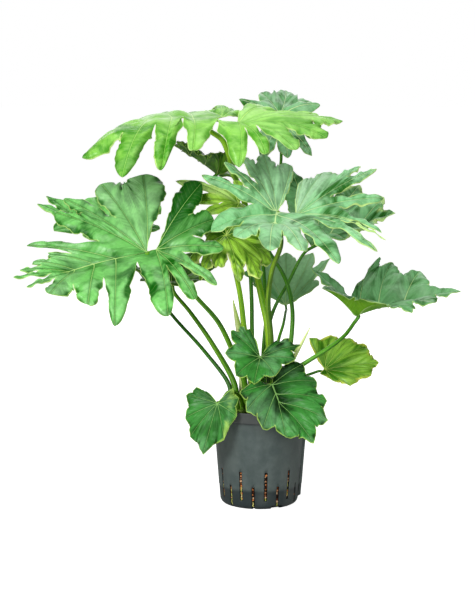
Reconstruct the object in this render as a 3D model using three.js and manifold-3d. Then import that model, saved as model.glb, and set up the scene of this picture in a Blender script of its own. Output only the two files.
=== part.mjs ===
// Potted tree philodendron: sixteen lobed leaves on long stalks, rising from one clump of crowns
// in a slotted hydroculture culture pot filled with expanded clay.
// Millimetres, +Z up, front towards -Y. The origin is the centre of the pot's underside.

import * as THREE from 'three';
import { mergeVertices } from 'three/addons/utils/BufferGeometryUtils.js';
import Module from 'manifold-3d';

const wasm = await Module();
wasm.setup();

// ---------------------------------------------------------------- driving dimensions

const GAP = 0.3; // clearance between pieces that touch
const MERGE = 1e-3; // vertices nearer than this are one

// Culture pot: a plain cone of 180 mm nominal width and 190 mm height
const POT_HEIGHT = 190;
const POT_BASE_RADIUS = 74.6; // of the wall's cone at the table
const POT_TOP_RADIUS = 89.3;
const POT_WALL = 2.2;
const POT_FLOOR = 3;
const POT_CORNER = 11; // rounding between wall and underside
const RIM_BAND_HEIGHT = 20;
const RIM_BAND_PROUD = 1.6;
const POT_SEGMENTS = 54;

const SLOT_COUNT = 20;
const SLOT_WIDTH = 6;
const SLOT_START_ANGLE = 8.8; // degrees round from the front, towards +X
const LONG_SLOT = { low: 17, high: 74, inner: 70, outer: 90 };
const SHORT_SLOT = { low: -1, high: 45, inner: 58, outer: 90 };

const NOTCH_ANGLES = [27, 147, 267]; // openings in the bottom edge
const NOTCH = { low: -1, high: 6.5, inner: 59, outer: 90 };
const NOTCH_WIDTH = 24;

const GAUGE_ANGLE = 88; // half-round channel rib for a water gauge
const GAUGE_RADIUS = 6.5;
const GAUGE_PROUD = 5;
const GAUGE_LOW = 13;
const GAUGE_HIGH = 188;
const GAUGE_SIDES = 14;

// Expanded clay filling and the clump of crowns that is bedded in it
const CLAY_TOP = 172;
const CROWN_TOP = 184;
const CROWN_BOTTOM = 140;
const CROWN_BODY_TOP = 160; // below this the crowns are one woody mass
const CROWN_BODY = { x: 2, y: 8, halfLength: 60, halfWidth: 38 };
const CROWN_STUB_MARGIN = 2.2; // a crown is this much wider than the stalk it carries
const CROWN_BODY_SIDES = 24;
const CROWN_STUB_SIDES = 10;

// Leaves
const BLADE_THICKNESS = 1.2;
const VEIN_SAMPLES = 40; // steps along a vein or a midrib
const FLAT_SHARE = 0.12; // share of a vein that turns from the hub's plane to the vein's tilt
const SWEEP = 10; // degrees by which a side vein curves towards the leaf's tip
const WEB_ROWS = 2; // rows from a vein's root to the depth of the notches
const LOBE_ROWS = 3; // rows from there to the lobe's tip
const WEB_SHARE = 0.5; // share of a vein that lies in the undivided web
const LOBE_TIPS = [1.7, 0.6]; // how full lobes stay towards their tips, and how they close there
const ROW_CROWDING = 1.35; // rows crowd towards the tip by this exponent
const WAIST_SHARE = 1 / 3; // past the notch, a lobe has narrowed to its fullness by this share
const FREE_SIDE = [0.32, 0.8]; // beside the open sinus: a half lobe's width and rise, see halfFree
const FREE_SWELL = 1.6;
const VEIN_CORRECTIONS = 12; // rounds in which a vein is bent towards its tip
const NO_RIB = { length: 0, droop: 0, turn: 0, nodes: [] };

// Stalks
const STALK_SIDES = 7;
const STALK_SPAN_STEPS = 2; // straight lengths between two points of a route
const STALK_TAPER = 0.7;
const STALK_RISE = 12; // a stalk leaves its crown upright for this far
const STALK_NECK = 14; // and meets its blade square over this far, unless the leaf says otherwise

// Places in the leaf list are read off a front elevation drawn in perspective: a column and a row
// of its picture plane, counted from the top left corner, and a depth behind the pot's axis in mm.
const EYE = new THREE.Vector3(-42, -3400, 848);
const EYE_DIP = 7.6; // degrees that the line of sight points below the horizontal
const PLANE_DISTANCE = 1789; // from the eye to the picture plane, in columns
const PLANE_CENTRE = { column: 237.5, row: 300 };
const DEPTH_SCALE = 1.6; // how much deeper than the list most leaves and stalks reach

// Two pale bud sheaths
const SHEATH_TIP_RADIUS = 0.8;
const SHEATH_FULLNESS = 4; // exponent of its narrowing: the higher, the later it starts
const SHEATHS = [
  { name: 'bud_sheath_left', base: [-32, 15.5], radius: 7.5, via: [[242.3, 352, 14]], tip: [233, 299.5, 16] },
  { name: 'bud_sheath_right', base: [32, 8], radius: 4, via: [[287.5, 371, 0]], tip: [310, 327.5, -6] },
];

// Colours and roughness
const POT_LOOK = { color: '#5d6667', roughness: 0.6 };
const CLAY_LOOK = { color: '#7a4a33', roughness: 0.95 };
const CROWN_LOOK = { color: '#6b7d45', roughness: 0.8 };
const SHEATH_LOOK = { color: '#c3d08a', roughness: 0.5 };
const BLADE_ROUGHNESS = 0.35;
const STALK_ROUGHNESS = 0.45;
const BLADE_TONES = {
  fresh: '#8fcf6c',
  grey_green: '#86bd97',
  mid: '#63b069',
  lime: '#86b63a',
  dark: '#3f8248',
  yellowing: '#8fb24b',
  shaded: '#5d7a45',
};
const STALK_TONES = { pale: '#86b446', olive: '#6f8f36', fresh: '#4f8a30', mid: '#3f7a2c', deep: '#2f6a2c' };

// The leaves:
//   hub         where the blade meets its stalk: column, row, depth
//   aim         heading of the midrib in plan, its rise and the blade's roll about it, in degrees
//   rib         the midrib's length, how far it droops and turns left in degrees, and how far along
//               it the lobes of each side spring from it
//   ears        ends of the bare ribs beside the open sinus, left and right, depth from the hub
//   fullness    how wide the lobes are past the notches, as a share of what there is room for
//   tips, sinus how round the lobes are, and how wide the halves to the left and right of the
//               sinus, in place of LOBE_TIPS and FREE_SIDE
//   behindHub   how many lobes of the left and right side spring from the hub or from an ear
//   lobes       from the left of the sinus over the tip to its right: column, row and depth from
//               the hub of the lobe's tip, its vein's droop in degrees, and the depth of the notch
//               after it, as a share of the vein; a sixth number is the lobe's own fullness
//   stalk       base on the crown, radii at both ends, clearance from the blade's middle plane, the
//               points of its route and, where it differs from STALK_NECK, its neck
const LEAVES = [
  {
    name: 'top',
    tone: 'fresh',
    hub: [209, 121, 0],
    aim: [180, 12, -8],
    rib: { length: 125, droop: 22, turn: 8, nodes: [30, 70, 115] },
    depthScale: DEPTH_SCALE,
    ears: [[238, 121.5, -20], [222, 117, 25]],
    fullness: 0.9,
    tips: [2.4, 0.5],
    behindHub: [7, 3],
    lobes: [
      [268, 109, 25, 70, 0.5], [315, 114, 20, 20, 0.8], [343, 121, -5, 30, 0.75],
      [327, 138, -35, 45, 0.62], [296, 150, -50, 55, 0.35, 0.8], [266, 154, -60, 55, 0.3, 0.7],
      [239, 167.5, -60, 60, 0.15, 0.75], [193, 150, -55, 55, 0.1, 0.65],
      [161.5, 170.4, -75, 55, 0.28, 0.7], [122, 177.5, -100, 50, 0.5, 0.85],
      [82, 158, -60, 45, 0.6], [125, 135, 70, 40, 0.5], [150, 122, 90, 40, 0.45],
      [180, 118, 100, 30, 0.4], [200, 114, 110, 20, 0.5], [214, 109.5, 105, 60, 0.5],
      [236, 112, 80, 40, 0.5],
    ],
    stalk: {
      tone: 'pale',
      base: [21, 17],
      radii: [8.8, 5.4],
      seat: 1.4,
      via: [
        [268, 330, 24], [262, 300, 34], [255.7, 270, 46], [250, 238, 58], [245, 205, 58],
        [239, 186, 52], [231.6, 170.7, 30], [228.5, 155, 5], [222, 140, 0],
      ],
    },
  },
  {
    name: 'upper_left',
    tone: 'shaded',
    hub: [217, 174, 70],
    aim: [178, 40, 16],
    rib: { length: 70, droop: 10, turn: 0, nodes: [30, 65] },
    depthScale: DEPTH_SCALE,
    fullness: 0.95,
    behindHub: [2, 2],
    lobes: [
      [231, 148, -40, 20, 0.85], [216, 153, -60, 20, 0.9], [203, 156, -60, 25, 0.9],
      [190, 149.5, -60, 30, 0.85], [177, 141.5, -45, 30, 0.8], [172, 144, 10, 15, 0.8],
      [184, 152, 60, 10, 0.7], [203, 163, 75, 10, 0.7], [230, 168, 50, 20, 0.5],
    ],
    stalk: {
      tone: 'mid',
      base: [44, 10],
      radii: [6, 3.2],
      seat: 1.6,
      via: [
        [291.5, 335, 28], [292, 307, 35], [286, 281, 35], [268, 250, 70], [250, 222, 88],
        [233, 196, 88],
      ],
    },
  },
  {
    name: 'upper_back',
    tone: 'grey_green',
    hub: [280, 115, 115],
    aim: [-85, -25, 0],
    rib: { length: 40, droop: 20, turn: 0, nodes: [30] },
    depthScale: DEPTH_SCALE,
    fullness: 1,
    tips: [1.5, 0.7],
    behindHub: [2, 4],
    lobes: [
      [320.4, 105, 20, 50, 0.6, 0.8], [315.4, 137, -30, 30, 0.6], [312, 156, -55, 35, 0.5],
      [288, 158, -85, 30, 0.6], [261, 161, -80, 30, 0.5], [239, 99, 30, 10, 0.6, 0.7],
      [260.5, 92.5, 70, 10, 0.96], [286, 90.5, 80, 5, 0.94], [309.5, 101, 60, 5, 0.7],
    ],
    stalk: {
      tone: 'mid',
      base: [6, 22],
      radii: [6, 3.4],
      seat: 1.7,
      via: [
        [263.5, 350, 42], [266, 315, 54], [264.5, 285, 66], [263.5, 262, 76], [268, 232, 98], [276, 195, 108],
        [281, 160, 114],
      ],
    },
  },
  {
    name: 'right',
    tone: 'grey_green',
    hub: [277, 211, -60],
    aim: [-97, -14, 2],
    rib: { length: 45, droop: 25, turn: 0, nodes: [15, 40] },
    depthScale: DEPTH_SCALE,
    ears: [[296, 214, 0], null],
    fullness: 0.9,
    sinus: [[0.07, 0.8], [0.07, 0.8]],
    tips: [2.2, 0.55],
    behindHub: [8, 5],
    lobes: [
      [303, 179.5, 55, 10, 0.9], [322.9, 172.5, 70, 10, 0.85], [360.2, 166.2, 70, 12, 0.72, 0.7],
      [376.8, 168.7, 55, 15, 0.42, 0.6], [383.4, 198, 20, 20, 0.5, 0.6],
      [381.7, 233, -45, 35, 0.5, 0.4], [386, 240, -55, 38, 0.5, 0.35],
      [377.6, 251.6, -75, 42, 0.36, 0.45], [338.6, 264, -110, 45, 0.5, 0.75],
      [303, 250.8, -110, 55, 0.64, 0.85], [269.8, 250.8, -110, 60, 0.66, 0.95],
      [235.5, 237, -75, 45, 0.6], [211, 232, -40, 40, 0.35, 0.8], [201.5, 175, 10, 25, 0.45, 0.5],
      [224.5, 161.8, 35, 18, 0.5, 0.6], [244.5, 157.5, 60, 10, 0.86, 0.9],
      [262.5, 154, 80, 8, 0.88, 0.95], [291, 165.4, 75, 8, 0.8, 0.95],
    ],
    stalk: {
      tone: 'olive',
      base: [18, -9],
      radii: [7.4, 4.6],
      seat: 2.2,
      via: [
        [271, 345, -14], [268, 300, -22], [272, 270, -32], [281, 244, -44],
      ],
    },
  },
  {
    name: 'left',
    tone: 'mid',
    hub: [147, 252.5, -40],
    aim: [186, -8, -50],
    rib: { length: 165, droop: 20, turn: 0, nodes: [60, 102, 140, 150] },
    depthScale: DEPTH_SCALE,
    ears: [[156, 249, 5], null],
    fullness: 0.95,
    sinus: [[0.26, 1.8], [0.27, 1.8]],
    tips: [3, 0.5],
    behindHub: [6, 4],
    lobes: [
      [201.5, 182.8, 45, 15, 0.66], [213.9, 219.3, 25, 20, 0.6, 0.9],
      [223.9, 247.5, -12, 25, 0.42, 0.65], [217.2, 285, -45, 30, 0.45, 0.5],
      [195.7, 299, -65, 35, 0.38, 0.75], [168.3, 316.3, -75, 40, 0.18, 0.75],
      [114.4, 326.3, -80, 40, 0.4, 0.6], [87.9, 304.7, -65, 40, 0.7, 0.8],
      [49.8, 294, -50, 35, 0.5, 1], [26.5, 287.3, -35, 30, 0.4, 0.4],
      [13.3, 277.3, -20, 20, 0.6, 0.6], [20, 270, -5, 20, 0.7, 0.7], [34, 261, 5, 20, 0.8, 0.9],
      [50, 254.5, 10, 20, 0.5, 0.8], [26.5, 246, 15, 20, 0.36, 0.5], [55.6, 212.7, 45, 20, 0.75, 0.8],
      [63.8, 198.6, 60, 15, 0.5, 0.8], [101, 184, 75, 12, 0.93], [142.6, 174.5, 85, 8, 0.95, 1],
    ],
    stalk: {
      tone: 'fresh',
      base: [-25, -3],
      radii: [7, 3.8],
      seat: 2.7,
      via: [
        [243.5, 378, -5], [232, 350, -8], [218, 322, -15], [197, 298, -22], [172, 270, -32],
      ],
    },
  },
  {
    name: 'far_left',
    tone: 'mid',
    hub: [118, 234, 130],
    aim: [172, 4, -25],
    rib: { length: 60, droop: 20, turn: 0, nodes: [25, 55] },
    depthScale: DEPTH_SCALE,
    fullness: 1,
    tips: [1.6, 0.7],
    behindHub: [2, 2],
    lobes: [
      [160, 229, -25, 40, 0.6], [130, 250, -50, 40, 0.5], [90, 240, -45, 45, 0.5],
      [54, 231, -40, 50, 0.6], [37, 204, -5, 40, 0.6], [46, 196, 25, 30, 0.6],
      [95, 197, 55, 30, 0.6], [128, 181, 60, 20, 0.6], [160, 205, 40, 20, 0.6],
    ],
    stalk: {
      tone: 'deep',
      base: [-55, 4],
      radii: [5, 3],
      seat: 1.5,
      via: [
        [229, 385, 12], [205, 352, 35], [172, 315, 75], [142, 275, 115],
      ],
    },
  },
  {
    name: 'behind_left',
    tone: 'shaded',
    hub: [172, 285, 75],
    aim: [-20, 10, 10],
    depthScale: DEPTH_SCALE,
    fullness: 1,
    tips: [1.5, 0.8],
    behindHub: [4, 3],
    lobes: [
      [150, 262, 40, 20, 0.6], [172, 250, 60, 20, 0.6], [200, 248, 50, 20, 0.6],
      [223, 262, 15, 30, 0.6], [214, 280, -25, 35, 0.6], [190, 287, -45, 30, 0.6],
      [140, 281, -30, 30, 0.6], [131, 267, 10, 30, 0.6],
    ],
    stalk: {
      tone: 'fresh',
      base: [-45, -12],
      radii: [7.2, 4],
      seat: 1.4,
      via: [
        [234.5, 385, -8], [213, 345, 25], [190, 312, 52],
      ],
    },
  },
  {
    name: 'young',
    tone: 'lime',
    tips: [2.4, 0.5],
    hub: [226, 235, -8],
    aim: [-92, -20, 0],
    depthScale: DEPTH_SCALE,
    fullness: 0.85,
    behindHub: [4, 5],
    lobes: [
      [245, 214, 8, 20, 0.7], [268, 236, 5, 40, 0.85], [272, 262, -22, 50, 0.82, 1],
      [260, 279, -40, 60, 0.74, 0.9], [239, 282, -48, 70, 0.6, 0.75], [218, 266, -40, 60, 0.7, 0.9],
      [200, 281, -20, 45, 0.6, 0.7], [188, 262, 5, 30, 0.6, 0.8], [205, 222, 35, 20, 0.6],
      [222, 212, 50, 20, 0.5],
    ],
    stalk: {
      tone: 'pale',
      base: [-12, 8],
      radii: [7.6, 4.8],
      seat: 2.8,
      via: [
        [246.5, 345, 2], [243.9, 327.5, 0], [240, 295, -2], [232.5, 261, -5],
      ],
    },
  },
  {
    name: 'upper_centre',
    tone: 'lime',
    tips: [2.6, 0.5],
    hub: [239, 203, 14],
    aim: [178, 8, -20],
    depthScale: DEPTH_SCALE,
    fullness: 0.9,
    behindHub: [4, 3],
    lobes: [
      [250, 215, -20, 20, 0.5], [230, 222, -30, 30, 0.5], [206, 214, -22, 30, 0.4],
      [190.7, 202, 0, 35, 0.45], [175.5, 181, 26, 40, 0.4], [224, 178, 18, 30, 0.6],
      [236, 180, 12, 20, 0.5],
    ],
    stalk: {
      tone: 'mid',
      base: [-10, 22],
      radii: [5.6, 3.7],
      seat: 1.4,
      via: [
        [252, 335, 22], [251.5, 300, 26], [249.5, 258, 32], [247, 228, 34], [243, 212, 26],
      ],
    },
  },
  {
    name: 'back',
    tone: 'grey_green',
    hub: [285.6, 304.7, 108],
    aim: [80, 40, 0],
    depthScale: DEPTH_SCALE,
    fullness: 1,
    sinus: [[0.06, 0.8], [0.08, 0.8]],
    tips: [1.5, 0.8],
    behindHub: [3, 3],
    lobes: [
      [254, 286, -10, 10, 0.85], [242.4, 272.4, 0, 15, 0.8], [262, 257, 40, 15, 0.85],
      [286, 252.5, 55, 10, 0.8], [312.9, 252.5, 45, 10, 0.7], [330.3, 258.3, 30, 10, 0.7],
      [319, 285, -5, 15, 0.85],
    ],
    stalk: {
      tone: 'mid',
      base: [31, 33],
      radii: [4.5, 2.6],
      seat: 1.3,
      via: [
        [277.5, 345, 40], [283, 325, 60], [285.5, 312, 95],
      ],
    },
  },
  {
    name: 'right_low',
    tone: 'grey_green',
    hub: [357.7, 314.7, 10],
    aim: [2, 24, 10],
    rib: { length: 110, droop: 30, turn: 0, nodes: [40, 90] },
    depthScale: 1.7,
    fullness: 1,
    tips: [1.5, 0.85],
    behindHub: [2, 3],
    lobes: [
      [359, 282, 25, 20, 0.7], [380, 256.6, 50, 60, 0.8], [392, 262, 65, 30, 0.75],
      [420, 271, 50, 30, 0.7], [461.3, 291.4, -5, 20, 0.75], [434, 303, -50, 40, 0.75],
      [412, 313, -60, 45, 0.75], [385, 304, -50, 40, 0.7], [322.9, 289, -40, 35, 0.7],
      [311.3, 269, 10, 20, 0.7],
    ],
    stalk: {
      tone: 'mid',
      base: [46, -9],
      radii: [6, 3.7],
      seat: 1.7,
      via: [
        [290, 373, -12], [305, 363, -18], [330, 347, -14], [345, 335, -5], [354, 323, 5],
      ],
      neck: 4,
    },
  },
  {
    name: 'variegated',
    tone: 'grey_green',
    hub: [318, 236, 60],
    aim: [12, 14, 12],
    rib: { length: 90, droop: 25, turn: 0, nodes: [25, 75] },
    depthScale: DEPTH_SCALE,
    fullness: 1,
    tips: [1.5, 0.8],
    behindHub: [2, 2],
    lobes: [
      [292, 170, 55, 20, 0.6], [325, 172, 80, 20, 0.6], [360, 185, 70, 20, 0.7],
      [384, 197, 35, 20, 0.8], [395.5, 213, 0, 15, 0.8], [370, 227, -40, 30, 0.7],
      [345, 240, -50, 35, 0.6], [311, 246, -40, 30, 0.6], [285, 215, 10, 30, 0.5],
    ],
    stalk: {
      tone: 'mid',
      base: [12, 38],
      radii: [5.6, 3.6],
      seat: 1.4,
      via: [
        [264.5, 350, 62], [273.4, 310.5, 58], [288, 283, 66], [304.6, 252.5, 72],
      ],
    },
  },
  {
    name: 'low_right',
    tone: 'yellowing',
    hub: [325, 369, 20],
    aim: [3, 2, 48],
    depthScale: 1.5,
    fullness: 1,
    sinus: [[0.1, 0.8], [0.1, 0.8]],
    tips: [1.6, 0.9],
    behindHub: [4, 4],
    lobes: [
      [309, 337.5, 10, 20, 0.88], [331, 335, 25, 15, 0.93], [350, 338, 25, 12, 0.94],
      [366.4, 345, 18, 10, 0.94], [379, 363, 0, 15, 0.94], [371, 376, -12, 20, 0.94],
      [350.4, 386, -22, 25, 0.94], [333, 381, -18, 25, 0.92], [320, 374, -8, 30, 0.88],
    ],
    stalk: {
      tone: 'mid',
      base: [55, 18],
      radii: [4, 2.6],
      seat: 1.3,
      via: [
        [300, 379, 24], [313, 373, 27], [320, 371, 26],
      ],
    },
  },
  {
    name: 'low_centre',
    tone: 'dark',
    hub: [260.2, 357, -45],
    aim: [-92, -38, 0],
    depthScale: 1.25,
    fullness: 1,
    sinus: [[0.05, 0.8], [0.05, 0.8]],
    tips: [1.5, 0.9],
    behindHub: [5, 5],
    lobes: [
      [273, 343, 22, 15, 0.88], [288, 338, 25, 15, 0.86], [301, 345, 12, 20, 0.82],
      [296, 359, -8, 25, 0.84], [275.4, 376, -32, 25, 0.88], [254, 384.6, -45, 25, 0.88],
      [236, 376, -33, 25, 0.84], [225, 353, -5, 20, 0.78], [230.5, 331, 22, 12, 0.86],
      [240, 325.5, 28, 10, 0.9], [250, 329, 28, 10, 0.88],
    ],
    stalk: {
      tone: 'fresh',
      base: [1, -15],
      radii: [5, 3],
      seat: 1.3,
      via: [
        [259, 385, -22], [259, 370, -30],
      ],
    },
  },
  {
    name: 'front_low',
    tone: 'dark',
    hub: [272, 384.5, -70],
    aim: [-66, -40, 0],
    rib: { length: 45, droop: 8, turn: 0, nodes: [22, 40] },
    depthScale: 1.25,
    fullness: 1,
    sinus: [[0.4, 0.8], [0.3, 0.8]],
    tips: [1.6, 0.9],
    behindHub: [2, 2],
    lobes: [
      [303, 364, 25, 20, 0.86], [316.4, 381, 5, 25, 0.86], [327, 400.7, -25, 30, 0.88],
      [328, 420.4, -48, 30, 0.86], [313.8, 443.6, -65, 30, 0.92], [286, 437.3, -68, 30, 0.84],
      [262.9, 429.3, -60, 30, 0.86], [246, 411.4, -40, 25, 0.84], [239.6, 393.6, -20, 20, 0.84],
    ],
    stalk: {
      tone: 'fresh',
      base: [16, -27],
      radii: [6, 3.2],
      seat: 1.6,
      via: [
        [271, 386, -36], [272.5, 379, -52],
      ],
    },
  },
  {
    name: 'hanging',
    tone: 'dark',
    hub: [217.3, 403.4, -88],
    aim: [-105, -72, 0],
    depthScale: 1,
    fullness: 1,
    sinus: [[0.05, 0.8], [0.06, 0.8]],
    tips: [1.6, 0.9],
    behindHub: [4, 5],
    lobes: [
      [233, 388, 6, 10, 0.9], [239, 398, 2, 10, 0.9], [237, 416, -8, 10, 0.92],
      [224, 440, -12, 12, 0.93], [203, 455, -12, 15, 0.93], [190, 437, -4, 12, 0.92],
      [185.2, 418, 6, 12, 0.9], [186, 395, 22, 10, 0.92], [196, 387, 24, 10, 0.93],
      [207, 391.5, 16, 10, 0.93],
    ],
    stalk: {
      tone: 'fresh',
      base: [-33, -19],
      radii: [4.5, 2.6],
      seat: 1.8,
      via: [
        [243, 405, -24], [238, 394, -42], [228, 392, -68],
      ],
    },
  },
];

// ---------------------------------------------------------------- helpers

const rad = THREE.MathUtils.degToRad;
const deg = THREE.MathUtils.radToDeg;
const ACROSS = new THREE.Vector3(1, 0, 0);

// The point at a depth behind the pot's axis that is seen at a column and row of the elevation.
function place([column, row, depth]) {
  const across = (column - PLANE_CENTRE.column) / PLANE_DISTANCE;
  const above = (PLANE_CENTRE.row - row) / PLANE_DISTANCE;
  const sight = new THREE.Vector3(across, 1, above).applyAxisAngle(ACROSS, -rad(EYE_DIP));
  return EYE.clone().addScaledVector(sight, (depth - EYE.y) / sight.y);
}

// A mesh with only positions, its seams merged and its flat triangles dropped.
function weld(source) {
  const bare = source.clone();
  bare.deleteAttribute('normal');
  bare.deleteAttribute('uv');
  const merged = mergeVertices(bare, MERGE);
  const index = [];
  for (let i = 0; i < merged.index.count; i += 3) {
    const [a, b, c] = [0, 1, 2].map((k) => merged.index.getX(i + k));
    if (a !== b && b !== c && c !== a) {
      index.push(a, b, c);
    }
  }
  return merged.setIndex(index);
}

function toManifold(source) {
  const geometry = weld(source);
  const mesh = new wasm.Mesh({
    numProp: 3,
    vertProperties: new Float32Array(geometry.attributes.position.array),
    triVerts: new Uint32Array(geometry.index.array),
  });
  return new wasm.Manifold(mesh);
}

function fromManifold(solid) {
  const { vertProperties, triVerts } = solid.getMesh();
  const geometry = new THREE.BufferGeometry();
  geometry.setAttribute('position', new THREE.BufferAttribute(vertProperties, 3));
  geometry.setIndex(new THREE.BufferAttribute(triVerts, 1));
  return geometry;
}

function lathe(profile, segments) {
  const points = profile.map(([radius, height]) => new THREE.Vector2(radius, height));
  return new THREE.LatheGeometry(points, segments).rotateX(Math.PI / 2);
}

function part(name, geometry, look) {
  const mesh = new THREE.Mesh(geometry, new THREE.MeshStandardMaterial(look));
  mesh.name = name;
  return mesh;
}

// ---------------------------------------------------------------- pot and clay

const POT_SLOPE = (POT_TOP_RADIUS - POT_BASE_RADIUS) / POT_HEIGHT;
const wallRadius = (z) => POT_BASE_RADIUS + POT_SLOPE * z;

// Quarter round from a flat bottom to the wall: [radius, z] points on a circle.
function cornerArc(outerRadius, bottom, size, steps = 4) {
  const points = [];
  for (let i = 0; i <= steps; i++) {
    const turn = (i / steps) * (Math.PI / 2);
    const radius = outerRadius - size + size * Math.sin(turn);
    points.push([radius, bottom + size - size * Math.cos(turn)]);
  }
  return points;
}

// The inside of the pot from the floor's centre up to a height, drawn in by an offset.
function cavityProfile(offset, top) {
  const corner = POT_CORNER - POT_WALL;
  const bottom = POT_FLOOR + offset;
  const atCorner = wallRadius(POT_FLOOR + corner) - POT_WALL - offset;
  return [
    [0, bottom],
    ...cornerArc(atCorner, bottom, corner),
    [wallRadius(top) - POT_WALL - offset, top],
  ];
}

function potShell() {
  const bandLow = POT_HEIGHT - RIM_BAND_HEIGHT;
  const band = RIM_BAND_PROUD;
  const outside = [
    [0, 0],
    ...cornerArc(wallRadius(POT_CORNER), 0, POT_CORNER),
    [wallRadius(bandLow), bandLow],
    [wallRadius(bandLow) + band, bandLow + band],
    [wallRadius(POT_HEIGHT) + band, POT_HEIGHT - band],
    [wallRadius(POT_HEIGHT), POT_HEIGHT],
  ];
  return lathe([...outside, ...cavityProfile(0, POT_HEIGHT).reverse()], POT_SEGMENTS);
}

// A box through the wall at an angle from the front, from an inner to an outer radius.
function radialBox(angle, width, { low, high, inner, outer }) {
  const box = new THREE.BoxGeometry(width, outer - inner, high - low);
  box.translate(0, -(inner + outer) / 2, (low + high) / 2);
  return box.rotateZ(rad(angle));
}

function gaugeRib() {
  const height = GAUGE_HIGH - GAUGE_LOW;
  const middle = (GAUGE_LOW + GAUGE_HIGH) / 2;
  const rib = new THREE.CylinderGeometry(GAUGE_RADIUS, GAUGE_RADIUS, height, GAUGE_SIDES);
  rib.rotateX(Math.PI / 2 + Math.atan(POT_SLOPE));
  rib.translate(0, -(wallRadius(middle) + GAUGE_PROUD - GAUGE_RADIUS), middle);
  const above = POT_HEIGHT + 1;
  const inside = lathe([...cavityProfile(0, above), [0, above]], POT_SEGMENTS);
  return toManifold(rib.rotateZ(rad(GAUGE_ANGLE))).subtract(toManifold(inside));
}

function potGeometry() {
  let pot = toManifold(potShell()).add(gaugeRib());
  for (let i = 0; i < SLOT_COUNT; i++) {
    const angle = SLOT_START_ANGLE + (i * 360) / SLOT_COUNT;
    const size = i % 2 === 0 ? LONG_SLOT : SHORT_SLOT;
    pot = pot.subtract(toManifold(radialBox(angle, SLOT_WIDTH, size)));
  }
  for (const angle of NOTCH_ANGLES) {
    pot = pot.subtract(toManifold(radialBox(angle, NOTCH_WIDTH, NOTCH)));
  }
  return fromManifold(pot);
}

// The crowns: one stub under each stalk and sheath, joined by a woody body in the clay.
// With an offset it is the pocket that the clay leaves for them.
function crownSolid(offset) {
  const top = offset > 0 ? CLAY_TOP + 1 : CROWN_TOP;
  const bottom = CROWN_BOTTOM - offset;
  const bodyHeight = CROWN_BODY_TOP + offset - bottom;
  const body = new THREE.CylinderGeometry(1, 1, bodyHeight, CROWN_BODY_SIDES);
  body.rotateX(Math.PI / 2);
  body.scale(CROWN_BODY.halfLength + offset, CROWN_BODY.halfWidth + offset, 1);
  body.translate(CROWN_BODY.x, CROWN_BODY.y, bottom + bodyHeight / 2);
  let crown = toManifold(body);
  const feet = [
    ...LEAVES.map(({ stalk }) => ({ at: stalk.base, radius: stalk.radii[0] })),
    ...SHEATHS.map(({ base, radius }) => ({ at: base, radius })),
  ];
  for (const { at, radius } of feet) {
    const width = radius + CROWN_STUB_MARGIN + offset;
    const stub = new THREE.CylinderGeometry(width, width, top - bottom, CROWN_STUB_SIDES);
    stub.rotateX(Math.PI / 2);
    stub.translate(at[0], at[1], (top + bottom) / 2);
    crown = crown.add(toManifold(stub));
  }
  return crown;
}

function clayGeometry() {
  const filling = lathe([...cavityProfile(GAP, CLAY_TOP), [0, CLAY_TOP]], POT_SEGMENTS);
  return fromManifold(toManifold(filling).subtract(crownSolid(GAP)));
}

// ---------------------------------------------------------------- leaf blades

// Forward along the midrib, to its left, and up out of the upper face.
function bladeFrame([heading, pitch, roll]) {
  const forward = new THREE.Vector3(1, 0, 0);
  const left = new THREE.Vector3(0, 1, 0);
  const up = new THREE.Vector3(0, 0, 1);
  const turn = new THREE.Matrix4().makeRotationZ(rad(heading));
  turn.multiply(new THREE.Matrix4().makeRotationY(-rad(pitch)));
  turn.multiply(new THREE.Matrix4().makeRotationX(rad(roll)));
  return [forward, left, up].map((axis) => axis.transformDirection(turn));
}

// The direction at an angle to the left of the midrib and a tilt above the blade's plane.
function direction([forward, left, up], angle, tilt) {
  const [a, t] = [rad(angle), rad(tilt)];
  return new THREE.Vector3()
    .addScaledVector(forward, Math.cos(t) * Math.cos(a))
    .addScaledVector(left, Math.cos(t) * Math.sin(a))
    .addScaledVector(up, Math.sin(t));
}

// Points along a line whose angle and tilt are given as functions of the share s of its length.
function trace(root, frame, length, angleAt, tiltAt) {
  const points = [root.clone()];
  for (let i = 0; i < VEIN_SAMPLES; i++) {
    const s = (i + 0.5) / VEIN_SAMPLES;
    const step = direction(frame, angleAt(s), tiltAt(s)).multiplyScalar(length / VEIN_SAMPLES);
    points.push(points[i].clone().add(step));
  }
  return points;
}

function vein(root, frame, sweep, angle, length, tilt, droop) {
  const angleAt = (s) => angle + sweep * (0.5 - s);
  const tiltAt = (s) => tilt * Math.min(1, s / FLAT_SHARE) - droop * s;
  return trace(root, frame, length, angleAt, tiltAt);
}

function pointAt(line, s) {
  const at = Math.min(Math.max(s, 0), 1) * VEIN_SAMPLES;
  const i = Math.min(Math.floor(at), VEIN_SAMPLES - 1);
  return line[i].clone().lerp(line[i + 1], at - i);
}

// The blade's frame, carried along the midrib to a point on it.
function frameAt([, left, up], line, s) {
  const i = Math.min(Math.floor(s * VEIN_SAMPLES), VEIN_SAMPLES - 1);
  const forward = line[i + 1].clone().sub(line[i]).normalize();
  const across = left.clone().addScaledVector(forward, -left.dot(forward)).normalize();
  return [forward, across, forward.clone().cross(across)];
}

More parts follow.
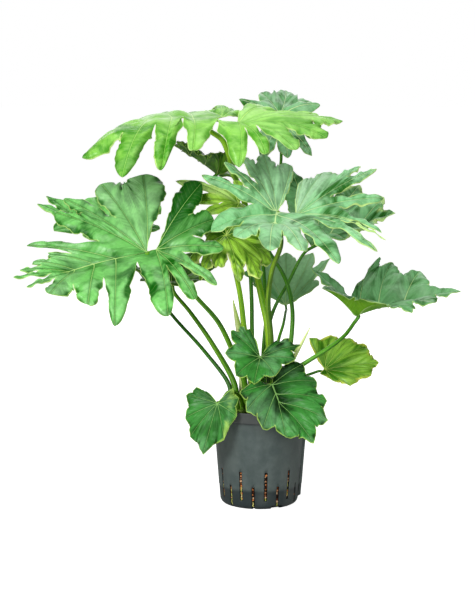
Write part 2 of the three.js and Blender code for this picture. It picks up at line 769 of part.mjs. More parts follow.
// A vein with a given droop from its root to a tip: its angle, length and tilt are corrected by
// what it misses the tip by.
function veinTo(tip, root, frame, sweep, droop) {
  const [forward, left, up] = frame;
  const polar = (point) => {
    const way = point.clone().sub(root);
    const angle = deg(Math.atan2(way.dot(left), way.dot(forward)));
    return { angle, length: way.length(), tilt: deg(Math.asin(way.dot(up) / way.length())) };
  };
  const goal = polar(tip);
  let { angle, length, tilt } = goal;
  for (let i = 0; i < VEIN_CORRECTIONS; i++) {
    const reached = polar(vein(root, frame, sweep, angle, length, tilt, droop).at(-1));
    const turn = goal.angle - reached.angle;
    angle += turn - 360 * Math.round(turn / 360);
    length *= goal.length / reached.length;
    tilt += goal.tilt - reached.tilt;
  }
  return vein(root, frame, sweep, angle, length, tilt, droop);
}

// The lobes in order round the leaf, and the blade's upward direction at the hub.
function lobesOf(leaf) {
  const depth = leaf.hub[2];
  const rib = leaf.rib ?? NO_RIB;
  const atDepth = ([column, row, beyond]) => place([column, row, (depth + beyond) * leaf.depthScale]);
  const hub = place([leaf.hub[0], leaf.hub[1], depth * leaf.depthScale]);
  const frame = bladeFrame(leaf.aim);
  const midrib = trace(hub, frame, rib.length, (s) => rib.turn * s, (s) => -rib.droop * s);
  const ears = (leaf.ears ?? [null, null]).map((ear) => (ear ? atDepth(ear) : hub));

  const [leftBehind, rightBehind] = leaf.behindHub;
  const tipIndex = leftBehind + rib.nodes.length;
  const lastBefore = leaf.lobes.length - rightBehind;
  const distances = leaf.lobes.map((_, k) => {
    const fromHub = rib.nodes.length - Math.max(1, Math.abs(k - tipIndex));
    return k < leftBehind || k >= lastBefore ? 0 : rib.nodes[fromHub] ?? 0;
  });

  return leaf.lobes.map(([column, row, beyond, droop, notch, fullness = leaf.fullness], k) => {
    const side = Math.sign(tipIndex - k);
    const ear = k < leftBehind ? ears[0] : k >= lastBefore ? ears[1] : null;
    const share = distances[k] > 0 ? distances[k] / rib.length : 0;
    const root = ear ?? pointAt(midrib, share);
    const local = share > 0 ? frameAt(frame, midrib, share) : frame;
    const line = veinTo(atDepth([column, row, beyond]), root, local, side * SWEEP, droop);
    return { line, notch, fullness, ear, share, midrib, hub, up: frame[2] };
  });
}

// Where the web between two neighbouring lobes begins.
function webRoot(a, b) {
  if (a.ear && b.ear) {
    return a.ear.clone();
  }
  return a.ear || b.ear ? a.hub.clone() : pointAt(a.midrib, (a.share + b.share) / 2);
}

// Shares of the vein at which a half lobe has its rows.
function rowShares() {
  const shares = [];
  for (let i = 0; i < WEB_ROWS; i++) {
    shares.push((WEB_SHARE * i) / WEB_ROWS);
  }
  for (let i = 0; i <= LOBE_ROWS; i++) {
    const x = 1 - (1 - i / LOBE_ROWS) ** ROW_CROWDING;
    shares.push(WEB_SHARE + (1 - WEB_SHARE) * x);
  }
  return shares;
}

// How wide a lobe is at a share of the way to its tip: full at first, and closed at the end.
function narrowing(s, fullness, [roundness, taper]) {
  return (1 - s ** roundness) ** taper * (1 - (1 - fullness) * Math.min(1, s / WAIST_SHARE));
}

// Half a lobe between its vein and its neighbour: in the web the edge runs midway between the
// two veins, past the notch it is the lobe's free margin.
function halfTowards(lobe, neighbour, notch, tips) {
  return rowShares().map((share) => {
    const onVein = pointAt(lobe.line, share);
    const x = (share - WEB_SHARE) / (1 - WEB_SHARE);
    if (share === 0) {
      return [onVein, webRoot(lobe, neighbour)];
    }
    if (x <= 0) {
      const s = (notch * share) / WEB_SHARE;
      return [onVein, pointAt(lobe.line, s).lerp(pointAt(neighbour.line, s), 0.5)];
    }
    const s = notch + (1 - notch) * x;
    const near = pointAt(lobe.line, s);
    const reach = pointAt(neighbour.line, s).sub(near).multiplyScalar(0.5);
    return [onVein, near.addScaledVector(reach, narrowing(x, lobe.fullness, tips))];
  });
}

// Half a lobe beside the open sinus: its margin swells from the hub, the later the higher its
// rise, and closes at the tip. Its width is a share of the lobe's length.
function halfFree({ line, up, fullness }, towards, tips, [width, rise]) {
  const length = line[0].distanceTo(line.at(-1));
  return rowShares().map((s) => {
    const onVein = pointAt(line, s);
    const step = 1 / VEIN_SAMPLES;
    const along = pointAt(line, s + step).sub(pointAt(line, s - step)).normalize();
    const across = up.clone().cross(along).normalize().multiplyScalar(towards);
    const swell = FREE_SWELL * s ** rise * narrowing(s, fullness, tips);
    return [onVein, onVein.clone().addScaledVector(across, length * width * swell)];
  });
}

// The blade's middle surface as a mesh, upper face outwards.
function bladeSurface(leaf) {
  const lobes = lobesOf(leaf);
  const tips = leaf.tips ?? LOBE_TIPS;
  const sinus = leaf.sinus ?? [FREE_SIDE, FREE_SIDE];
  const corners = [];
  lobes.forEach((lobe, k) => {
    for (const towards of [1, -1]) {
      const neighbour = lobes[k - towards];
      const notch = lobes[Math.min(k, k - towards)]?.notch;
      const rows = neighbour
        ? halfTowards(lobe, neighbour, notch, tips)
        : halfFree(lobe, towards, tips, sinus[towards > 0 ? 0 : 1]);
      for (let i = 0; i + 1 < rows.length; i++) {
        const [a, b] = rows[i];
        const [c, d] = rows[i + 1];
        const triangles = towards > 0 ? [a, c, d, a, d, b] : [a, d, c, a, b, d];
        corners.push(...triangles.flatMap((p) => p.toArray()));
      }
    }
  });
  const geometry = new THREE.BufferGeometry();
  geometry.setAttribute('position', new THREE.Float32BufferAttribute(corners, 3));
  return geometry;
}

// Gives the surface its thickness: an upper and a lower sheet joined by a wall round the margin.
function thicken(surface, thickness) {
  const sheet = weld(surface);
  sheet.computeVertexNormals();
  const count = sheet.attributes.position.count;
  const upper = [...sheet.index.array];

  const points = [];
  for (const half of [thickness / 2, -thickness / 2]) {
    for (let i = 0; i < count; i++) {
      const p = new THREE.Vector3().fromBufferAttribute(sheet.attributes.position, i);
      const n = new THREE.Vector3().fromBufferAttribute(sheet.attributes.normal, i);
      points.push(...p.addScaledVector(n, half).toArray());
    }
  }
  const index = [...upper];
  const edges = new Set();
  for (let i = 0; i < upper.length; i += 3) {
    const [a, b, c] = upper.slice(i, i + 3);
    [[a, b], [b, c], [c, a]].forEach(([from, to]) => edges.add(`${from},${to}`));
    index.push(a + count, c + count, b + count);
  }
  for (const key of edges) {
    const [from, to] = key.split(',').map(Number);
    if (!edges.has(`${to},${from}`)) {
      index.push(from, to + count, to, from, from + count, to + count);
    }
  }
  const solid = new THREE.BufferGeometry();
  solid.setAttribute('position', new THREE.Float32BufferAttribute(points, 3));
  solid.setIndex(index);
  return solid;
}

// ---------------------------------------------------------------- stalks and sheaths

// A closed tube along a smooth line through the points; its radius is a function of the share of
// its length.
function taperedTube(points, radiusAt) {
  const curve = new THREE.CatmullRomCurve3(points, false, 'centripetal');
  const rings = (points.length - 1) * STALK_SPAN_STEPS;
  const centres = [];
  for (let i = 0; i <= rings; i++) {
    centres.push(curve.getPoint(i / rings));
  }
  const lengths = [0];
  for (let i = 1; i <= rings; i++) {
    lengths.push(lengths[i - 1] + centres[i].distanceTo(centres[i - 1]));
  }
  const positions = [];
  const index = [];
  const side = new THREE.Vector3(1, 0, 0);
  centres.forEach((centre, i) => {
    const before = i === rings ? points.at(-2) : centres[Math.max(i - 1, 0)];
    const after = i === 0 ? points[1] : centres[Math.min(i + 1, rings)];
    const along = after.clone().sub(before).normalize();
    side.addScaledVector(along, -side.dot(along)).normalize();
    const other = along.clone().cross(side);
    const radius = radiusAt(lengths[i] / lengths[rings]);
    for (let k = 0; k < STALK_SIDES; k++) {
      const turn = (2 * Math.PI * k) / STALK_SIDES;
      const p = centre.clone().addScaledVector(side, radius * Math.cos(turn));
      positions.push(...p.addScaledVector(other, radius * Math.sin(turn)).toArray());
    }
  });
  for (let i = 0; i < rings; i++) {
    for (let k = 0; k < STALK_SIDES; k++) {
      const a = i * STALK_SIDES + k;
      const b = i * STALK_SIDES + ((k + 1) % STALK_SIDES);
      index.push(a, b, b + STALK_SIDES, a, b + STALK_SIDES, a + STALK_SIDES);
    }
  }
  const last = rings * STALK_SIDES;
  for (let k = 1; k + 1 < STALK_SIDES; k++) {
    index.push(0, k + 1, k, last, last + k, last + k + 1);
  }
  const tube = new THREE.BufferGeometry();
  tube.setAttribute('position', new THREE.Float32BufferAttribute(positions, 3));
  tube.setIndex(index);
  return tube;
}

// A foot that stands upright on the crown.
function footAt([x, y]) {
  return [CROWN_TOP + GAP, CROWN_TOP + STALK_RISE].map((z) => new THREE.Vector3(x, y, z));
}

// A stalk's route keeps the depth of its base and scales only what it leaves it by.
function stalkGeometry({ hub, aim, depthScale, stalk }) {
  const depth = stalk.base[1];
  const via = stalk.via.map(([column, row, y]) => place([column, row, depth + (y - depth) * depthScale]));
  const up = bladeFrame(aim)[2];
  const top = place([hub[0], hub[1], hub[2] * depthScale]);
  const neck = stalk.neck ?? STALK_NECK;
  const end = [neck, stalk.seat].map((below) => top.clone().addScaledVector(up, -below));
  const radiusAt = (share) => THREE.MathUtils.lerp(...stalk.radii, share ** STALK_TAPER);
  return taperedTube([...footAt(stalk.base), ...via, ...end], radiusAt);
}

function sheathGeometry({ base, via, tip, radius }) {
  const radiusAt = (share) => radius * (1 - share ** SHEATH_FULLNESS) + SHEATH_TIP_RADIUS * share;
  return taperedTube([...footAt(base), ...via.map(place), place(tip)], radiusAt);
}

// ---------------------------------------------------------------- assembly

const plant = new THREE.Group();
plant.add(part('culture_pot', potGeometry(), POT_LOOK));
plant.add(part('clay_filling', clayGeometry(), CLAY_LOOK));
plant.add(part('crown', fromManifold(crownSolid(0)), CROWN_LOOK));
for (const leaf of LEAVES) {
  const blade = thicken(bladeSurface(leaf), BLADE_THICKNESS);
  const bladeLook = { color: BLADE_TONES[leaf.tone], roughness: BLADE_ROUGHNESS };
  const stalkLook = { color: STALK_TONES[leaf.stalk.tone], roughness: STALK_ROUGHNESS };
  plant.add(part(`blade_${leaf.name}`, blade, bladeLook));
  plant.add(part(`stalk_${leaf.name}`, stalkGeometry(leaf), stalkLook));
}
for (const sheath of SHEATHS) {
  plant.add(part(sheath.name, sheathGeometry(sheath), SHEATH_LOOK));
}

export default plant;
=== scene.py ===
"""Potted tree philodendron: the looks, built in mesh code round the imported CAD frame.

The leaves, stalks, pot, clay and crown are made here in millimetres by the same rules as their
CAD solids, only finer, and scaled to metres when their meshes are made.
"""

import math

import bmesh
import bpy
import numpy as np
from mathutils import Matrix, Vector


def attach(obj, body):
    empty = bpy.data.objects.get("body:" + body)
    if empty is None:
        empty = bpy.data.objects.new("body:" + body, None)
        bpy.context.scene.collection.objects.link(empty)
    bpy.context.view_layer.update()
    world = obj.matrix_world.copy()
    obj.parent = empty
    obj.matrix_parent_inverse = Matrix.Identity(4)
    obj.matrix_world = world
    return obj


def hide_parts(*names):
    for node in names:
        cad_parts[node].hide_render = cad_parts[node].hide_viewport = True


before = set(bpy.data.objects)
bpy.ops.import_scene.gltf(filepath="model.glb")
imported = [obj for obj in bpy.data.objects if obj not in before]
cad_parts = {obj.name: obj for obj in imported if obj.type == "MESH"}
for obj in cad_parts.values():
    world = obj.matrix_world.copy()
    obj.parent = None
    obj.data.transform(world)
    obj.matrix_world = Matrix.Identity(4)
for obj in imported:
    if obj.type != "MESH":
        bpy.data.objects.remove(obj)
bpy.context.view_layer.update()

MM = 0.001  # metres in a millimetre

# ------------------------------------------------------------------ sizes, as in the CAD model

GAP = 0.3  # clearance between pieces that touch
POT_HEIGHT = 190
POT_BASE_RADIUS = 74.6  # of the wall's cone at the table
POT_TOP_RADIUS = 89.3
POT_WALL = 2.2
POT_CORNER = 11  # rounding between wall and underside
RIM_BAND_HEIGHT = 20
RIM_BAND_PROUD = 1.6
SLOT_COUNT = 20
SLOT_WIDTH = 6
SLOT_START_ANGLE = 8.8  # degrees round from the front, towards +X
LONG_SLOT = (17, 74)  # its lowest and highest point
SHORT_SLOT = (-1, 45)
NOTCH_ANGLES = (27, 147, 267)  # openings in the bottom edge
NOTCH_TOP = 6.5
NOTCH_WIDTH = 24
NOTCH_INNER = 59  # how near the pot's axis they reach in the underside
GAUGE_ANGLE = 88  # half-round channel rib for a water gauge
GAUGE_RADIUS = 6.5
GAUGE_PROUD = 5
GAUGE_LOW = 13
GAUGE_HIGH = 188
CLAY_TOP = 172
CROWN_TOP = 184

VEIN_SAMPLES = 40  # steps along a vein or a midrib
FLAT_SHARE = 0.12  # share of a vein that turns from the hub's plane to the vein's tilt
SWEEP = 10  # degrees by which a side vein curves towards the leaf's tip
WEB_SHARE = 0.5  # share of a vein that lies in the undivided web
LOBE_TIPS = (1.7, 0.6)  # how full lobes stay towards their tips, and how they close there
WAIST_SHARE = 1 / 3  # past the notch, a lobe has narrowed to its fullness by this share
ROW_CROWDING = 1.35  # rows crowd towards the tip by this exponent
FREE_SIDE = (0.32, 0.8)  # beside the open sinus: a half lobe's width and rise
FREE_SWELL = 1.6
VEIN_CORRECTIONS = 12  # rounds in which a vein is bent towards its tip
STALK_TAPER = 0.7
STALK_RISE = 12  # a stalk leaves its crown upright for this far
STALK_NECK = 14  # and meets its blade square over this far, unless the leaf says otherwise

# The picture plane of the front view that places are given in: column, row and depth in mm
EYE = np.array([-42.0, -3400.0, 848.0])
EYE_DIP = 7.6  # degrees that the line of sight points below the horizontal
PLANE_DISTANCE = 1789  # from the eye to the picture plane, in columns
PLANE_CENTRE = (237.5, 300)
PLANE_HEIGHT = 600
SENSOR = 36
DEPTH_SCALE = 1.6  # how much deeper than the list most leaves and stalks reach

NO_RIB = {"length": 0, "droop": 0, "turn": 0, "nodes": []}

SHEATHS = [
    {"name": "left", "base": [-32, 15.5], "radius": 7.5, "via": [[242.3, 352, 14]], "tip": [233, 299.5, 16]},
    {"name": "right", "base": [32, 8], "radius": 4, "via": [[287.5, 371, 0]], "tip": [310, 327.5, -6]},
]
SHEATH_TIP_RADIUS = 0.8
SHEATH_FULLNESS = 4  # exponent of its narrowing: the higher, the later it starts

# The leaves, as in the CAD model:
#   hub         where the blade meets its stalk: column, row, depth
#   aim         heading of the midrib in plan, its rise and the blade's roll about it, in degrees
#   rib         the midrib's length, how far it droops and turns left in degrees, and how far along
#               it the lobes of each side spring from it
#   ears        ends of the bare ribs beside the open sinus, left and right, depth from the hub
#   tips, sinus how round the lobes are, and how wide the halves to the left and right of the
#               sinus, in place of LOBE_TIPS and FREE_SIDE
#   fullness    how wide the lobes are past the notches, as a share of what there is room for,
#               where that isn't all of it
#   behind_hub  how many lobes of the left and right side spring from the hub or from an ear
#   lobes       from the left of the sinus over the tip to its right: column, row and depth from
#               the hub of the lobe's tip, its vein's droop in degrees, and the depth of the notch
#               after it, as a share of the vein; a sixth number is the lobe's own fullness
#   stalk       base on the crown, radii at both ends, the points of its route and, where it
#               differs from STALK_NECK, its neck
LEAVES = [
    {
        "name": "top", "tone": "fresh", "hub": [209, 121, 0], "aim": [180, 12, -8],
        "rib": {"length": 125, "droop": 22, "turn": 8, "nodes": [30, 70, 115]},
        "ears": [[238, 121.5, -20], [222, 117, 25]], "tips": [2.4, 0.5], "fullness": 0.9,
        "behind_hub": [7, 3],
        "lobes": [
            [268, 109, 25, 70, 0.5], [315, 114, 20, 20, 0.8], [343, 121, -5, 30, 0.75],
            [327, 138, -35, 45, 0.62], [296, 150, -50, 55, 0.35, 0.8], [266, 154, -60, 55, 0.3, 0.7],
            [239, 167.5, -60, 60, 0.15, 0.75], [193, 150, -55, 55, 0.1, 0.65],
            [161.5, 170.4, -75, 55, 0.28, 0.7], [122, 177.5, -100, 50, 0.5, 0.85],
            [82, 158, -60, 45, 0.6], [125, 135, 70, 40, 0.5], [150, 122, 90, 40, 0.45],
            [180, 118, 100, 30, 0.4], [200, 114, 110, 20, 0.5], [214, 109.5, 105, 60, 0.5],
            [236, 112, 80, 40, 0.5],
        ],
        "stalk": {
            "tone": "pale", "base": [21, 17], "radii": [8.8, 5.4],
            "via": [
                [268, 330, 24], [262, 300, 34], [255.7, 270, 46], [250, 238, 58], [245, 205, 58],
                [239, 186, 52], [231.6, 170.7, 30], [228.5, 155, 5], [222, 140, 0],
            ],
        },
    },
    {
        "name": "upper_left", "tone": "shaded", "hub": [217, 174, 70], "aim": [178, 40, 16],
        "rib": {"length": 70, "droop": 10, "turn": 0, "nodes": [30, 65]}, "fullness": 0.95,
        "behind_hub": [2, 2],
        "lobes": [
            [231, 148, -40, 20, 0.85], [216, 153, -60, 20, 0.9], [203, 156, -60, 25, 0.9],
            [190, 149.5, -60, 30, 0.85], [177, 141.5, -45, 30, 0.8], [172, 144, 10, 15, 0.8],
            [184, 152, 60, 10, 0.7], [203, 163, 75, 10, 0.7], [230, 168, 50, 20, 0.5],
        ],
        "stalk": {
            "tone": "mid", "base": [44, 10], "radii": [6, 3.2],
            "via": [
                [291.5, 335, 28], [292, 307, 35], [286, 281, 35], [268, 250, 70], [250, 222, 88],
                [233, 196, 88],
            ],
        },
    },
    {
        "name": "upper_back", "tone": "grey_green", "hub": [280, 115, 115], "aim": [-85, -25, 0],
        "rib": {"length": 40, "droop": 20, "turn": 0, "nodes": [30]}, "tips": [1.5, 0.7],
        "behind_hub": [2, 4],
        "lobes": [
            [320.4, 105, 20, 50, 0.6, 0.8], [315.4, 137, -30, 30, 0.6], [312, 156, -55, 35, 0.5],
            [288, 158, -85, 30, 0.6], [261, 161, -80, 30, 0.5], [239, 99, 30, 10, 0.6, 0.7],
            [260.5, 92.5, 70, 10, 0.96], [286, 90.5, 80, 5, 0.94], [309.5, 101, 60, 5, 0.7],
        ],
        "stalk": {
            "tone": "mid", "base": [6, 22], "radii": [6, 3.4],
            "via": [
                [263.5, 350, 42], [266, 315, 54], [264.5, 285, 66], [263.5, 262, 76], [268, 232, 98],
                [276, 195, 108], [281, 160, 114],
            ],
        },
    },
    {
        "name": "right", "tone": "grey_green", "hub": [277, 211, -60], "aim": [-97, -14, 2],
        "rib": {"length": 45, "droop": 25, "turn": 0, "nodes": [15, 40]}, "ears": [[296, 214, 0], None],
        "sinus": [[0.07, 0.8], [0.07, 0.8]], "tips": [2.2, 0.55], "fullness": 0.9, "behind_hub": [8, 5],
        "lobes": [
            [303, 179.5, 55, 10, 0.9], [322.9, 172.5, 70, 10, 0.85], [360.2, 166.2, 70, 12, 0.72, 0.7],
            [376.8, 168.7, 55, 15, 0.42, 0.6], [383.4, 198, 20, 20, 0.5, 0.6],
            [381.7, 233, -45, 35, 0.5, 0.4], [386, 240, -55, 38, 0.5, 0.35],
            [377.6, 251.6, -75, 42, 0.36, 0.45], [338.6, 264, -110, 45, 0.5, 0.75],
            [303, 250.8, -110, 55, 0.64, 0.85], [269.8, 250.8, -110, 60, 0.66, 0.95],
            [235.5, 237, -75, 45, 0.6], [211, 232, -40, 40, 0.35, 0.8], [201.5, 175, 10, 25, 0.45, 0.5],
            [224.5, 161.8, 35, 18, 0.5, 0.6], [244.5, 157.5, 60, 10, 0.86, 0.9],
            [262.5, 154, 80, 8, 0.88, 0.95], [291, 165.4, 75, 8, 0.8, 0.95],
        ],
        "stalk": {
            "tone": "olive", "base": [18, -9], "radii": [7.4, 4.6],
            "via": [[271, 345, -14], [268, 300, -22], [272, 270, -32], [281, 244, -44]],
        },
    },
    {
        "name": "left", "tone": "mid", "hub": [147, 252.5, -40], "aim": [186, -8, -50],
        "rib": {"length": 165, "droop": 20, "turn": 0, "nodes": [60, 102, 140, 150]},
        "ears": [[156, 249, 5], None], "sinus": [[0.26, 1.8], [0.27, 1.8]], "tips": [3, 0.5],
        "fullness": 0.95, "behind_hub": [6, 4],
        "lobes": [
            [201.5, 182.8, 45, 15, 0.66], [213.9, 219.3, 25, 20, 0.6, 0.9],
            [223.9, 247.5, -12, 25, 0.42, 0.65], [217.2, 285, -45, 30, 0.45, 0.5],
            [195.7, 299, -65, 35, 0.38, 0.75], [168.3, 316.3, -75, 40, 0.18, 0.75],
            [114.4, 326.3, -80, 40, 0.4, 0.6], [87.9, 304.7, -65, 40, 0.7, 0.8],
            [49.8, 294, -50, 35, 0.5, 1], [26.5, 287.3, -35, 30, 0.4, 0.4],
            [13.3, 277.3, -20, 20, 0.6, 0.6], [20, 270, -5, 20, 0.7, 0.7], [34, 261, 5, 20, 0.8, 0.9],
            [50, 254.5, 10, 20, 0.5, 0.8], [26.5, 246, 15, 20, 0.36, 0.5],
            [55.6, 212.7, 45, 20, 0.75, 0.8], [63.8, 198.6, 60, 15, 0.5, 0.8], [101, 184, 75, 12, 0.93],
            [142.6, 174.5, 85, 8, 0.95, 1],
        ],
        "stalk": {
            "tone": "fresh", "base": [-25, -3], "radii": [7, 3.8],
            "via": [[243.5, 378, -5], [232, 350, -8], [218, 322, -15], [197, 298, -22], [172, 270, -32]],
        },
    },
    {
        "name": "far_left", "tone": "mid", "hub": [118, 234, 130], "aim": [172, 4, -25],
        "rib": {"length": 60, "droop": 20, "turn": 0, "nodes": [25, 55]}, "tips": [1.6, 0.7],
        "behind_hub": [2, 2],
        "lobes": [
            [160, 229, -25, 40, 0.6], [130, 250, -50, 40, 0.5], [90, 240, -45, 45, 0.5],
            [54, 231, -40, 50, 0.6], [37, 204, -5, 40, 0.6], [46, 196, 25, 30, 0.6],
            [95, 197, 55, 30, 0.6], [128, 181, 60, 20, 0.6], [160, 205, 40, 20, 0.6],
        ],
        "stalk": {
            "tone": "deep", "base": [-55, 4], "radii": [5, 3],
            "via": [[229, 385, 12], [205, 352, 35], [172, 315, 75], [142, 275, 115]],
        },
    },
    {
        "name": "behind_left", "tone": "shaded", "hub": [172, 285, 75], "aim": [-20, 10, 10],
        "tips": [1.5, 0.8], "behind_hub": [4, 3],
        "lobes": [
            [150, 262, 40, 20, 0.6], [172, 250, 60, 20, 0.6], [200, 248, 50, 20, 0.6],
            [223, 262, 15, 30, 0.6], [214, 280, -25, 35, 0.6], [190, 287, -45, 30, 0.6],
            [140, 281, -30, 30, 0.6], [131, 267, 10, 30, 0.6],
        ],
        "stalk": {
            "tone": "fresh", "base": [-45, -12], "radii": [7.2, 4],
            "via": [[234.5, 385, -8], [213, 345, 25], [190, 312, 52]],
        },
    },
    {
        "name": "young", "tone": "lime", "hub": [226, 235, -8], "aim": [-92, -20, 0], "tips": [2.4, 0.5],
        "fullness": 0.85, "behind_hub": [4, 5],
        "lobes": [
            [245, 214, 8, 20, 0.7], [268, 236, 5, 40, 0.85], [272, 262, -22, 50, 0.82, 1],
            [260, 279, -40, 60, 0.74, 0.9], [239, 282, -48, 70, 0.6, 0.75],
            [218, 266, -40, 60, 0.7, 0.9], [200, 281, -20, 45, 0.6, 0.7], [188, 262, 5, 30, 0.6, 0.8],
            [205, 222, 35, 20, 0.6], [222, 212, 50, 20, 0.5],
        ],
        "stalk": {
            "tone": "pale", "base": [-12, 8], "radii": [7.6, 4.8],
            "via": [[246.5, 345, 2], [243.9, 327.5, 0], [240, 295, -2], [232.5, 261, -5]],
        },
    },
    {
        "name": "upper_centre", "tone": "lime", "hub": [239, 203, 14], "aim": [178, 8, -20],
        "tips": [2.6, 0.5], "fullness": 0.9, "behind_hub": [4, 3],
        "lobes": [
            [250, 215, -20, 20, 0.5], [230, 222, -30, 30, 0.5], [206, 214, -22, 30, 0.4],
            [190.7, 202, 0, 35, 0.45], [175.5, 181, 26, 40, 0.4], [224, 178, 18, 30, 0.6],
            [236, 180, 12, 20, 0.5],
        ],
        "stalk": {
            "tone": "mid", "base": [-10, 22], "radii": [5.6, 3.7],
            "via": [[252, 335, 22], [251.5, 300, 26], [249.5, 258, 32], [247, 228, 34], [243, 212, 26]],
        },
    },
    {
        "name": "back", "tone": "grey_green", "hub": [285.6, 304.7, 108], "aim": [80, 40, 0],
        "sinus": [[0.06, 0.8], [0.08, 0.8]], "tips": [1.5, 0.8], "behind_hub": [3, 3],
        "lobes": [
            [254, 286, -10, 10, 0.85], [242.4, 272.4, 0, 15, 0.8], [262, 257, 40, 15, 0.85],
            [286, 252.5, 55, 10, 0.8], [312.9, 252.5, 45, 10, 0.7], [330.3, 258.3, 30, 10, 0.7],
            [319, 285, -5, 15, 0.85],
        ],
        "stalk": {
            "tone": "mid", "base": [31, 33], "radii": [4.5, 2.6],
            "via": [[277.5, 345, 40], [283, 325, 60], [285.5, 312, 95]],
        },
    },
    {
        "name": "right_low", "tone": "grey_green", "hub": [357.7, 314.7, 10], "aim": [2, 24, 10],
        "rib": {"length": 110, "droop": 30, "turn": 0, "nodes": [40, 90]}, "tips": [1.5, 0.85],
        "behind_hub": [2, 3], "depth_scale": 1.7,
        "lobes": [
            [359, 282, 25, 20, 0.7], [380, 256.6, 50, 60, 0.8], [392, 262, 65, 30, 0.75],
            [420, 271, 50, 30, 0.7], [461.3, 291.4, -5, 20, 0.75], [434, 303, -50, 40, 0.75],
            [412, 313, -60, 45, 0.75], [385, 304, -50, 40, 0.7], [322.9, 289, -40, 35, 0.7],
            [311.3, 269, 10, 20, 0.7],
        ],
        "stalk": {
            "tone": "mid", "base": [46, -9], "radii": [6, 3.7], "neck": 4,
            "via": [[290, 373, -12], [305, 363, -18], [330, 347, -14], [345, 335, -5], [354, 323, 5]],
        },
    },
    {
        "name": "variegated", "tone": "grey_green", "hub": [318, 236, 60], "aim": [12, 14, 12],
        "rib": {"length": 90, "droop": 25, "turn": 0, "nodes": [25, 75]}, "tips": [1.5, 0.8],
        "behind_hub": [2, 2],
        "lobes": [
            [292, 170, 55, 20, 0.6], [325, 172, 80, 20, 0.6], [360, 185, 70, 20, 0.7],
            [384, 197, 35, 20, 0.8], [395.5, 213, 0, 15, 0.8], [370, 227, -40, 30, 0.7],
            [345, 240, -50, 35, 0.6], [311, 246, -40, 30, 0.6], [285, 215, 10, 30, 0.5],
        ],
        "stalk": {
            "tone": "mid", "base": [12, 38], "radii": [5.6, 3.6],
            "via": [[264.5, 350, 62], [273.4, 310.5, 58], [288, 283, 66], [304.6, 252.5, 72]],
        },
    },
    {
        "name": "low_right", "tone": "yellowing", "hub": [325, 369, 20], "aim": [3, 2, 48],
        "sinus": [[0.1, 0.8], [0.1, 0.8]], "tips": [1.6, 0.9], "behind_hub": [4, 4], "depth_scale": 1.5,
        "lobes": [
            [309, 337.5, 10, 20, 0.88], [331, 335, 25, 15, 0.93], [350, 338, 25, 12, 0.94],
            [366.4, 345, 18, 10, 0.94], [379, 363, 0, 15, 0.94], [371, 376, -12, 20, 0.94],
            [350.4, 386, -22, 25, 0.94], [333, 381, -18, 25, 0.92], [320, 374, -8, 30, 0.88],
        ],
        "stalk": {
            "tone": "mid", "base": [55, 18], "radii": [4, 2.6],
            "via": [[300, 379, 24], [313, 373, 27], [320, 371, 26]],
        },
    },
    {
        "name": "low_centre", "tone": "dark", "hub": [260.2, 357, -45], "aim": [-92, -38, 0],
        "sinus": [[0.05, 0.8], [0.05, 0.8]], "tips": [1.5, 0.9], "behind_hub": [5, 5],
        "depth_scale": 1.25,
        "lobes": [
            [273, 343, 22, 15, 0.88], [288, 338, 25, 15, 0.86], [301, 345, 12, 20, 0.82],
            [296, 359, -8, 25, 0.84], [275.4, 376, -32, 25, 0.88], [254, 384.6, -45, 25, 0.88],
            [236, 376, -33, 25, 0.84], [225, 353, -5, 20, 0.78], [230.5, 331, 22, 12, 0.86],
            [240, 325.5, 28, 10, 0.9], [250, 329, 28, 10, 0.88],
        ],
        "stalk": {
            "tone": "fresh", "base": [1, -15], "radii": [5, 3],
            "via": [[259, 385, -22], [259, 370, -30]],
        },
    },
    {
        "name": "front_low", "tone": "dark", "hub": [272, 384.5, -70], "aim": [-66, -40, 0],
        "rib": {"length": 45, "droop": 8, "turn": 0, "nodes": [22, 40]},
        "sinus": [[0.4, 0.8], [0.3, 0.8]], "tips": [1.6, 0.9], "behind_hub": [2, 2], "depth_scale": 1.25,
        "lobes": [
            [303, 364, 25, 20, 0.86], [316.4, 381, 5, 25, 0.86], [327, 400.7, -25, 30, 0.88],
            [328, 420.4, -48, 30, 0.86], [313.8, 443.6, -65, 30, 0.92], [286, 437.3, -68, 30, 0.84],
            [262.9, 429.3, -60, 30, 0.86], [246, 411.4, -40, 25, 0.84], [239.6, 393.6, -20, 20, 0.84],
        ],
        "stalk": {
            "tone": "fresh", "base": [16, -27], "radii": [6, 3.2],
            "via": [[271, 386, -36], [272.5, 379, -52]],
        },
    },
    {
        "name": "hanging", "tone": "dark", "hub": [217.3, 403.4, -88], "aim": [-105, -72, 0],
        "sinus": [[0.05, 0.8], [0.06, 0.8]], "tips": [1.6, 0.9], "behind_hub": [4, 5], "depth_scale": 1,
        "lobes": [
            [233, 388, 6, 10, 0.9], [239, 398, 2, 10, 0.9], [237, 416, -8, 10, 0.92],
            [224, 440, -12, 12, 0.93], [203, 455, -12, 15, 0.93], [190, 437, -4, 12, 0.92],
            [185.2, 418, 6, 12, 0.9], [186, 395, 22, 10, 0.92], [196, 387, 24, 10, 0.93],
            [207, 391.5, 16, 10, 0.93],
        ],
        "stalk": {
            "tone": "fresh", "base": [-33, -19], "radii": [4.5, 2.6],
            "via": [[243, 405, -24], [238, 394, -42], [228, 392, -68]],
        },
    },
]

# ------------------------------------------------------------------ geometry helpers, in mm


def unit(v):
    return v / np.maximum(np.linalg.norm(v, axis=-1, keepdims=True), 1e-9)


def smoothstep(x):
    x = np.clip(x, 0, 1)
    return x * x * (3 - 2 * x)


